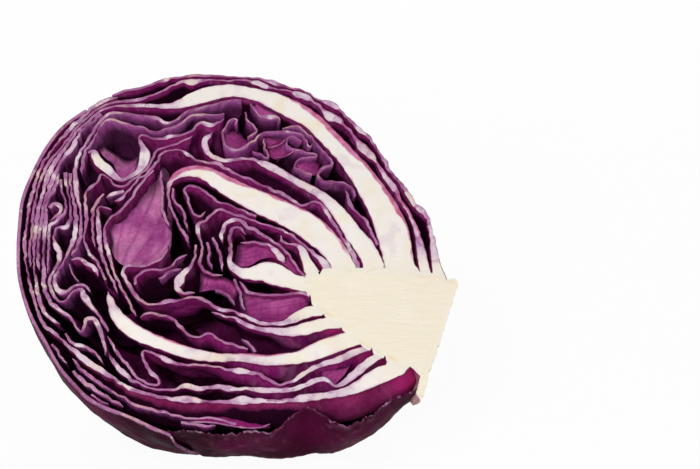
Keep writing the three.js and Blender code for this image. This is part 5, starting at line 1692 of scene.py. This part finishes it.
@dataclass
class BackWrapper:
    """The outer wrapper leaf, from the stump over the back to the crown.

    Attributes:
        line: Its cut edge on the face.
        head: The head.
        stem: Direction of the stump on the face.
        share: Share of the head's radius at which it lies behind the face.
        thickness: Its thickness.
        columns: Faces round the stem axis.
        rows: Faces from stump to crown.
        veins: Its relief.
        size: The head's middle radius.
    """

    line: CutLine
    head: Head
    stem: float = math.radians(-24.0)
    share: float = 0.9935
    thickness: float = 1.2
    columns: int = 180
    rows: int = 190
    veins: Veins = Veins(17.0, 0.7, 0.1)
    size: float = 78.0

    def edge_share(self, angle: Array) -> Array:
        """Gives the share of the radius at which the cut edge lies, in a direction on the face."""
        a, b = self.line.places.T
        turned = np.degrees(np.arctan2(b, a)) % 360.0
        share = np.hypot(a, b) / self.head.radius(a, b)
        order = np.argsort(turned)
        return np.interp(np.degrees(angle) % 360.0, turned[order], share[order])

    def shape(self, u: Array, v: Array, w: Array) -> Shaped:
        """Places the wrapper's vertices.

        Args:
            u: Share of the way round the stem axis.
            v: Share of the way from the stump to the crown.
            w: 0 outside, 1 inside.

        Returns:
            Places in metres and the values for the materials.
        """
        table = np.array(WRAPPER_MARGINS)
        first = table[0, 0]
        psi = first + (180.0 - first) * v
        low, high = np.interp(psi, table[:, 0], table[:, 1]), np.interp(psi, table[:, 0], table[:, 2])
        ruffle = 2.2 * np.sin(psi / 5.1) + 1.4 * np.sin(psi / 2.3 + 1.0)
        low = np.where(low > 1.0, low + ruffle * smooth(low, 0.0, 20.0), low)
        high = np.where(high < 179.0, high + 0.6 * ruffle * smooth(180.0 - high, 0.0, 15.0), high)
        phi = np.radians(low + (high - low) * u)
        psi_r = np.radians(psi)
        along, out = np.cos(psi_r), np.sin(psi_r)
        ax, ay = math.cos(self.stem), math.sin(self.stem)
        dx = along * ax - out * np.cos(phi) * ay
        dy = along * ay + out * np.cos(phi) * ax
        dz = out * np.sin(phi)
        dz = np.where(np.abs(dz) < 1e-9, 0.0, dz)
        at_face = np.exp(-((dz / 0.22) ** 2))
        share = self.share + (self.edge_share(np.arctan2(dy, dx)) - self.share) * at_face
        s = (psi - first) * 1.36
        lateral = self.size * out * (phi - np.radians(100.0 - 8.0 * np.sin(psi_r * 2.0)))
        vein = self.veins.height(s, lateral)
        behind = smooth(dz, 0.05, 0.25)
        folds = 0.0
        for k, phase in ((9.0, 0.4), (15.0, 2.1), (23.0, 4.0)):
            fold = np.sin(phi * k / 2 + phase + 0.9 * np.sin(psi_r * 5 + k))
            folds = folds + (0.5 - np.abs(fold)) * 9.0 / k
        crinkle = folds * 1.3 * (1.0 - smooth(psi, 24.0, 62.0)) * smooth(psi, 15.0, 22.0)
        points = np.c_[dx, dy, dz] * self.size
        soft = Waves((16.0, 40.0), 9, 31).at(points)[:, 0] * 0.55 - 0.45
        relief = (vein * 0.75 * (w < 0.5) + crinkle + soft) * behind
        share = share + ((0.5 - w) * self.thickness + relief) / self.head.depth
        radius = self.head.radius(dx, dy) * share
        places = np.c_[dx * radius, dy * radius, dz * self.head.depth * share]
        margin = np.minimum(np.minimum(u, 1.0 - u) * self.size * out * np.radians(high - low), s + 0.4)
        # Its inner skin counts as 3 mm deeper than it is, so that its painted shade is darker.
        values = {
            "along": s, "deep": places[:, 2] + 3.0, "across": w, "thick": self.thickness,
            "number": 91.7, "vein": vein * behind, "margin": margin, "stain": 0.0,
            "shade": 0.6,
        }
        return self.head.to_part(places), values

    @staticmethod
    def slots(u: Array, v: Array, w: Array) -> Array:
        """Gives 1 for the rims, 2 for the outside and 0 for the inside."""
        rim = (u < 1e-4) | (u > 1.0 - 1e-4) | (v < 1e-4)
        return np.where(rim, 1, np.where(w < 0.01, 2, 0))

    def dress(self, skin: Material, cut: Material, outside: Material) -> None:
        """Builds the wrapper with its three materials."""
        block = Block(self.columns, self.rows)
        piece = block.finish("outer_wrapper_leaf_skin", self.shape, self.slots, (skin, cut, outside), 2e-6)
        place_piece(piece, "outer_wrapper_leaf")


@dataclass
class Core:
    """The cut stem: a cream wedge, half round behind the face, with a flat butt.

    Attributes:
        head: The head.
        lines: The leaves, whose ribs grow out of it.
        share: Depth behind the face as a share of its width.
        proud: How far its cut stands in front of the leaves' cut.
        notch: How far its border draws back between two ribs.
        slant: How far the butt leans in for each step behind the cut.
        stump: Direction of the stump on the face.
        grid: Number of faces along it, across it and into the head.
    """

    head: Head
    lines: list[CutLine]
    share: float = 0.45
    proud: float = 0.03
    notch: float = 2.4
    slant: float = 0.34
    stump: float = math.radians(-14.0)
    grid: tuple[int, int, int] = (170, 70, 14)

    def gap(self, places: Array) -> Array:
        """Gives how far each place on the face is from the nearest rib."""
        nearest = np.full(len(places), 99.0)
        for line in self.lines:
            base = line.along < 18.0
            away = np.linalg.norm(places[:, None, :] - line.places[None, base, :], axis=2)
            nearest = np.minimum(nearest, (away - line.thickness[None, base] * 0.62).min(axis=1))
        return nearest

    def shape(self, u: Array, v: Array, w: Array) -> Shaped:
        """Places the core's vertices.

        Args:
            u: Share of the way from the tip to the butt.
            v: Share of the way from the lower edge to the upper.
            w: 0 on the cut, 1 behind.

        Returns:
            Places in metres and the values for the materials.
        """
        upper, lower = np.array(CORE_STATIONS, dtype=float).transpose(1, 0, 2)
        steps = np.linalg.norm(np.diff((upper + lower) / 2, axis=0), axis=1)
        knots = np.concatenate([[0.0], np.cumsum(steps)])
        at = u * knots[-1]
        top, low = places_at(at, knots, upper), places_at(at, knots, lower)
        middle, half = (top + low) / 2, (top - low) / 2
        across = 2.0 * v - 1.0
        width = np.linalg.norm(half, axis=1) * 2
        angle = np.pi / 2 * across
        reach = np.sin(angle)
        wobble = Waves((3.0, 9.0), 6, 5).at(middle + half * reach[:, None])[:, 0]
        rim = middle + half * np.sign(reach)[:, None]
        inwards = self.notch * smooth(self.gap(rim), 0.05, 1.1) * smooth(u, 0.0, 0.05)
        inwards *= 1.0 - smooth(u, 0.9, 0.97)
        drawn = 1.0 - inwards * smooth(np.abs(reach), 0.55, 1.0) / (width / 2)
        ragged = 1.0 + 0.012 * wobble * smooth(np.abs(reach), 0.8, 1.0)
        face = middle + half * (reach * ragged * drawn)[:, None]
        behind = np.maximum(0.25, self.share * width * np.cos(angle))
        depth = -self.proud + (behind + self.proud) * w
        end = smooth(u, 0.985, 1.0)
        swell = (0.9 * np.cos(angle) * np.sin(np.pi * np.clip(w, 0.0, 1.0)) ** 0.5 + 0.35 * wobble) * end
        swell -= self.slant * np.maximum(0.0, depth) * smooth(u, 0.75, 1.0)
        face[:, 0] += swell * math.cos(self.stump)
        face[:, 1] += swell * math.sin(self.stump)
        places = np.c_[face[:, 0], face[:, 1], depth]
        border = np.minimum((1.0 - np.abs(reach)) * width / 2, at + 0.6)
        on_butt = (u > 1.0 - 1e-6).astype(float)
        values = {
            "border": np.minimum(border, 40.0), "butt": on_butt * smooth(w, 0.0, 0.12),
            "back": smooth(w, 0.0, 0.1) * (1.0 - on_butt), "inside": 1.0 - 0.5 * smooth(u, 0.8, 0.92),
        }
        return self.head.to_part(places), values

    def build(self, tissue: Material) -> None:
        """Builds the core."""
        block = Block(*self.grid)
        one = (tissue,)
        piece = block.finish("core_body", self.shape, lambda u, v, w: np.zeros(len(u)), one, corner=38.0)
        place_piece(piece, "core")


# Each lamp's name, its place in metres, its width and its power in watts.
LAMPS: tuple[tuple[str, Point, float, float], ...] = (
    ("key", (-0.45, -0.9, 1.1), 0.3, 6.2), ("front", (-0.22, -1.1, 0.5), 0.4, 7.0),
    ("fill", (1.0, -0.9, 0.5), 1.0, 1.6), ("rim", (0.1, 1.2, 0.6), 0.8, 7.0),
)


@dataclass(frozen=True)
class Studio:
    """The floor, the lamps and the camera.

    Attributes:
        elevation: Height of the view above the horizon, in degrees.
        distance: From the camera to the middle of the cut face.
        aside: How far the middle of the face lies left of and below the middle of the frame.
        lens: Focal length for a frame 36 mm wide.
        white_share: How much the floor shows as white to the camera and in reflections.
        sky: Strength of the even light all round.
    """

    elevation: float = 20.0
    distance: float = 1.0
    aside: tuple[float, float] = (0.0448, 0.00504)
    lens: float = 137.83
    white_share: float = 0.95
    sky: float = 0.28

    def camera(self, head: Head) -> None:
        """Makes the camera.

        Args:
            head: The head it looks at.
        """
        up = math.radians(self.elevation)
        back = Vector((0.0, -math.cos(up), math.sin(up)))
        rise = Vector((0.0, math.sin(up), math.cos(up)))
        aim = Vector(head.centre) * MM + Vector((self.aside[0], 0.0, 0.0)) + rise * self.aside[1]
        data = bpy.data.cameras.new("camera")
        data.lens, data.sensor_width = self.lens, 36.0
        data.clip_start, data.clip_end = 0.05, 50.0
        camera = in_scene("camera", data)
        camera.location = aim + back * self.distance
        camera.rotation_euler = (math.radians(90.0) - up, 0.0, 0.0)
        bpy.context.scene.camera = camera

    @staticmethod
    def lamp(name: str, place: Point, size: float, power: float, head: Head) -> None:
        """Makes one soft lamp that points at the head.

        Args:
            name: The lamp's name.
            place: Where it stands, in metres.
            size: Its width.
            power: Its power in watts.
            head: The head it points at.
        """
        data = bpy.data.lights.new(name, "AREA")
        data.shape, data.size, data.energy = "DISK", size, power
        lamp = in_scene(name, data)
        lamp.location = place
        way = Vector(head.centre) * MM - Vector(place)
        lamp.rotation_euler = way.to_track_quat("-Z", "Y").to_euler()

    def floor(self) -> None:
        """Makes the floor, which is white and keeps the shadow."""
        work = bmesh.new()
        bmesh.ops.create_grid(work, x_segments=1, y_segments=1, size=6.0)
        bmesh.ops.translate(work, vec=(0.0, 0.0, -0.0004), verts=work.verts[:])
        mesh = bpy.data.meshes.new("floor")
        work.to_mesh(mesh)
        work.free()
        graph = Graph("floor_white")
        graph.set("Base Color", "f4f4f4")
        graph.set("Roughness", 0.9)
        graph.set("Specular IOR Level", 0.0)
        path = graph.node("LightPath", {})
        seen = graph.math("MAXIMUM", path.outputs["Is Camera Ray"], path.outputs["Is Glossy Ray"])
        white = graph.node("Emission", {"Color": WHITE, "Strength": 1.0})
        graph.show(white, graph.times(seen, self.white_share))
        mesh.materials.append(graph.material)
        in_scene("floor", mesh)

    def world(self) -> None:
        """Makes the even light all round, which the camera sees as white."""
        graph = Graph("studio", world=True)
        graph.set("Color", WHITE)
        graph.set("Strength", self.sky)
        white = graph.node("Background", {"Color": WHITE, "Strength": 1.0})
        graph.show(white, graph.node("LightPath", {}).outputs["Is Camera Ray"])
        bpy.context.scene.world = graph.material

    def build(self, head: Head) -> None:
        """Makes the whole studio."""
        self.camera(head)
        self.floor()
        self.world()
        for name, place, size, power in LAMPS:
            self.lamp(name, place, size, power, head)
        bpy.context.scene.view_settings.view_transform = "Standard"


# Leaves with a thick rib at the cut, besides those named after it.
RIB_LEAVES = {"second_leaf", "heart_leaf_2", "lower_sheath_leaf", "lower_leaf_1"}
RUFFLED_LEAVES = ("crown_", "fold_", "sheath_", "crumpled_")
# Sheets that take the lightest, painted-lit copy of the leaf skin.
PAINTED_LIT_SHEETS = {"sheet_broad", "sheet_pocket"}

# The first pattern number and the step to the next, of the leaves, the folds and the petals.
LEAF_NUMBERS, FOLD_NUMBERS, PETAL_NUMBERS = (0.0, 3.7), (211.0, 3.1), (307.0, 5.3)

# How a leaf differs from the others: the stain on its cut, how much painted shade darkens it inwards and how
# it swings out.
HABITS: dict[str, dict[str, float]] = {
    "second_leaf": {"stain": 0.4, "shade": 2.6},
    "great_rib_leaf": {"stain": 1.0, "shade": 1.3},
    "third_rib_leaf": {"stain": 1.0, "shade": 1.5},
    "lower_rib_leaf": {"stain": 0.4, "shade": 0.25, "flare": 0.075},
    "lower_sheath_leaf": {"shade": 0.15, "painted_far_shade": 2.0, "flare": 0.11},
    "lower_leaf_1": {"shade": 0.4, "painted_far_shade": 0.8, "flare": 0.1},
    "lower_leaf_2": {"flare": 0.06},
    "lower_leaf_3": {"shade": 0.3, "flare": 0.055},
    "lower_leaf_4": {"shade": 0.3, "flare": 0.05},
    **{f"crown_leaf_{k}": {"shade": 0.9} for k in (1, 2, 3)},
    "broad_leaf": {"shade": 0.0},
    "pocket_leaf_1": {"shade": 0.4},
    "pocket_leaf_2": {"shade": 0.5},
    "heart_leaf_1": {"shade": 0.3},
    "heart_leaf_2": {"flare": 0.08},
}


def nth(numbers: tuple[float, float], k: int) -> float:
    """Gives the k-th of numbers given by their first and their step."""
    return numbers[0] + numbers[1] * k


@dataclass
class Cabbage:
    """The half head: the lines of its cut, its finishes and its pieces.

    Attributes:
        head: The head's shape.
        wander: How far the cut of a thin leaf wanders, and how much more it does under the crown.
    """

    head: Head
    wander: tuple[float, float] = (0.3, 0.9)

    def __post_init__(self) -> None:
        """Makes the main finishes and draws the lines of the cut."""
        self.skin, self.cut = LeafSkin().make(), CutTissue().make()
        self.outside, self.ruffled = WrapperSkin().make(), RUFFLED_SKIN.make()
        self.lines = {name: CutLine(name, points) for name, points in LEAVES.items()}
        self.edge = CutLine("outer_wrapper_leaf", WRAPPER_EDGE, 1.2)
        self.strips = [CutLine(name, points) for name, points in FOLDS.items()]
        free = [*self.lines.values(), *self.strips]
        keep_apart(free, [self.edge])
        for line in free:
            line.roughen(*self.wander)

    def build_leaves(self) -> None:
        """Builds every leaf but the outer wrapper leaf."""
        # The lower sheath leaf takes a lighter copy of the skin, painted light.
        sheath = PAINTED_LIT_SHEATH_SKIN.make()
        for k, (name, line) in enumerate(self.lines.items()):
            number = nth(LEAF_NUMBERS, k)
            if name == "upper_wrapper_leaf":
                leaf = OuterLeaf(line, self.head, number, outer=Side.RIGHT, shade=3.0)
                leaf.dress(self.skin, self.cut, self.outside)
            elif name == "lower_wrapper_leaf":
                leaf = OuterLeaf(line, self.head, number, outer=Side.LEFT, torn=0.4, midrib=24.0)
                leaf.stand_out, leaf.bulge = 0.046, 0.06
                leaf.dress(self.skin, self.outside, self.outside)
            else:
                reach = Reach.SHORT if name.startswith(SHORT_LEAVES) else Reach.FULL
                slot = "rib_leaf" if "rib" in name or name in RIB_LEAVES else "leaf"
                inside = self.ruffled if name.startswith(RUFFLED_LEAVES) else self.skin
                leaf = Leaf(line, self.head, number, reach, slot, **HABITS.get(name, {}))
                leaf.build(sheath if name == "lower_sheath_leaf" else inside, self.cut)

    def build_folds(self) -> None:
        """Builds the small folds, the ends that are folded over and the broad stretches."""
        for k, strip in enumerate(self.strips):
            fold = Leaf(strip, self.head, nth(FOLD_NUMBERS, k), Reach.STRIP, shade=1.1)
            fold.build(self.ruffled, self.cut)
        for k, (name, (points, rise, sink)) in enumerate(PETALS.items()):
            line = CutLine(name, points, 0.7)
            petal = Petal(line, self.head, nth(PETAL_NUMBERS, k), rise=rise, sink=sink, shade=0.0)
            petal.build(self.skin, self.cut)
        # The sheets take lit copies of the skin; the lightest is painted light.
        bright, folded = PAINTED_LIT_SKIN.make(), FOLDED_SKIN.make()
        for name, (lower, upper, depths, root) in SHEETS.items():
            sheet = Sheet(name, CutLine(name, lower), CutLine(name, upper), self.head, depths, root)
            sheet.build(bright if name in PAINTED_LIT_SHEETS else folded)

    def build(self) -> None:
        """Builds every piece."""
        self.build_leaves()
        self.build_folds()
        BackWrapper(self.edge, self.head).dress(self.skin, self.cut, self.outside)
        Core(self.head, list(self.lines.values())).build(CoreTissue().make())


def main() -> None:
    """Builds the half cabbage and the studio round it."""
    logging.basicConfig(level=logging.INFO, format="%(message)s")
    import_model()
    head = Head()
    Cabbage(head).build()
    Studio().build(head)


if __name__ == "__main__":
    main()
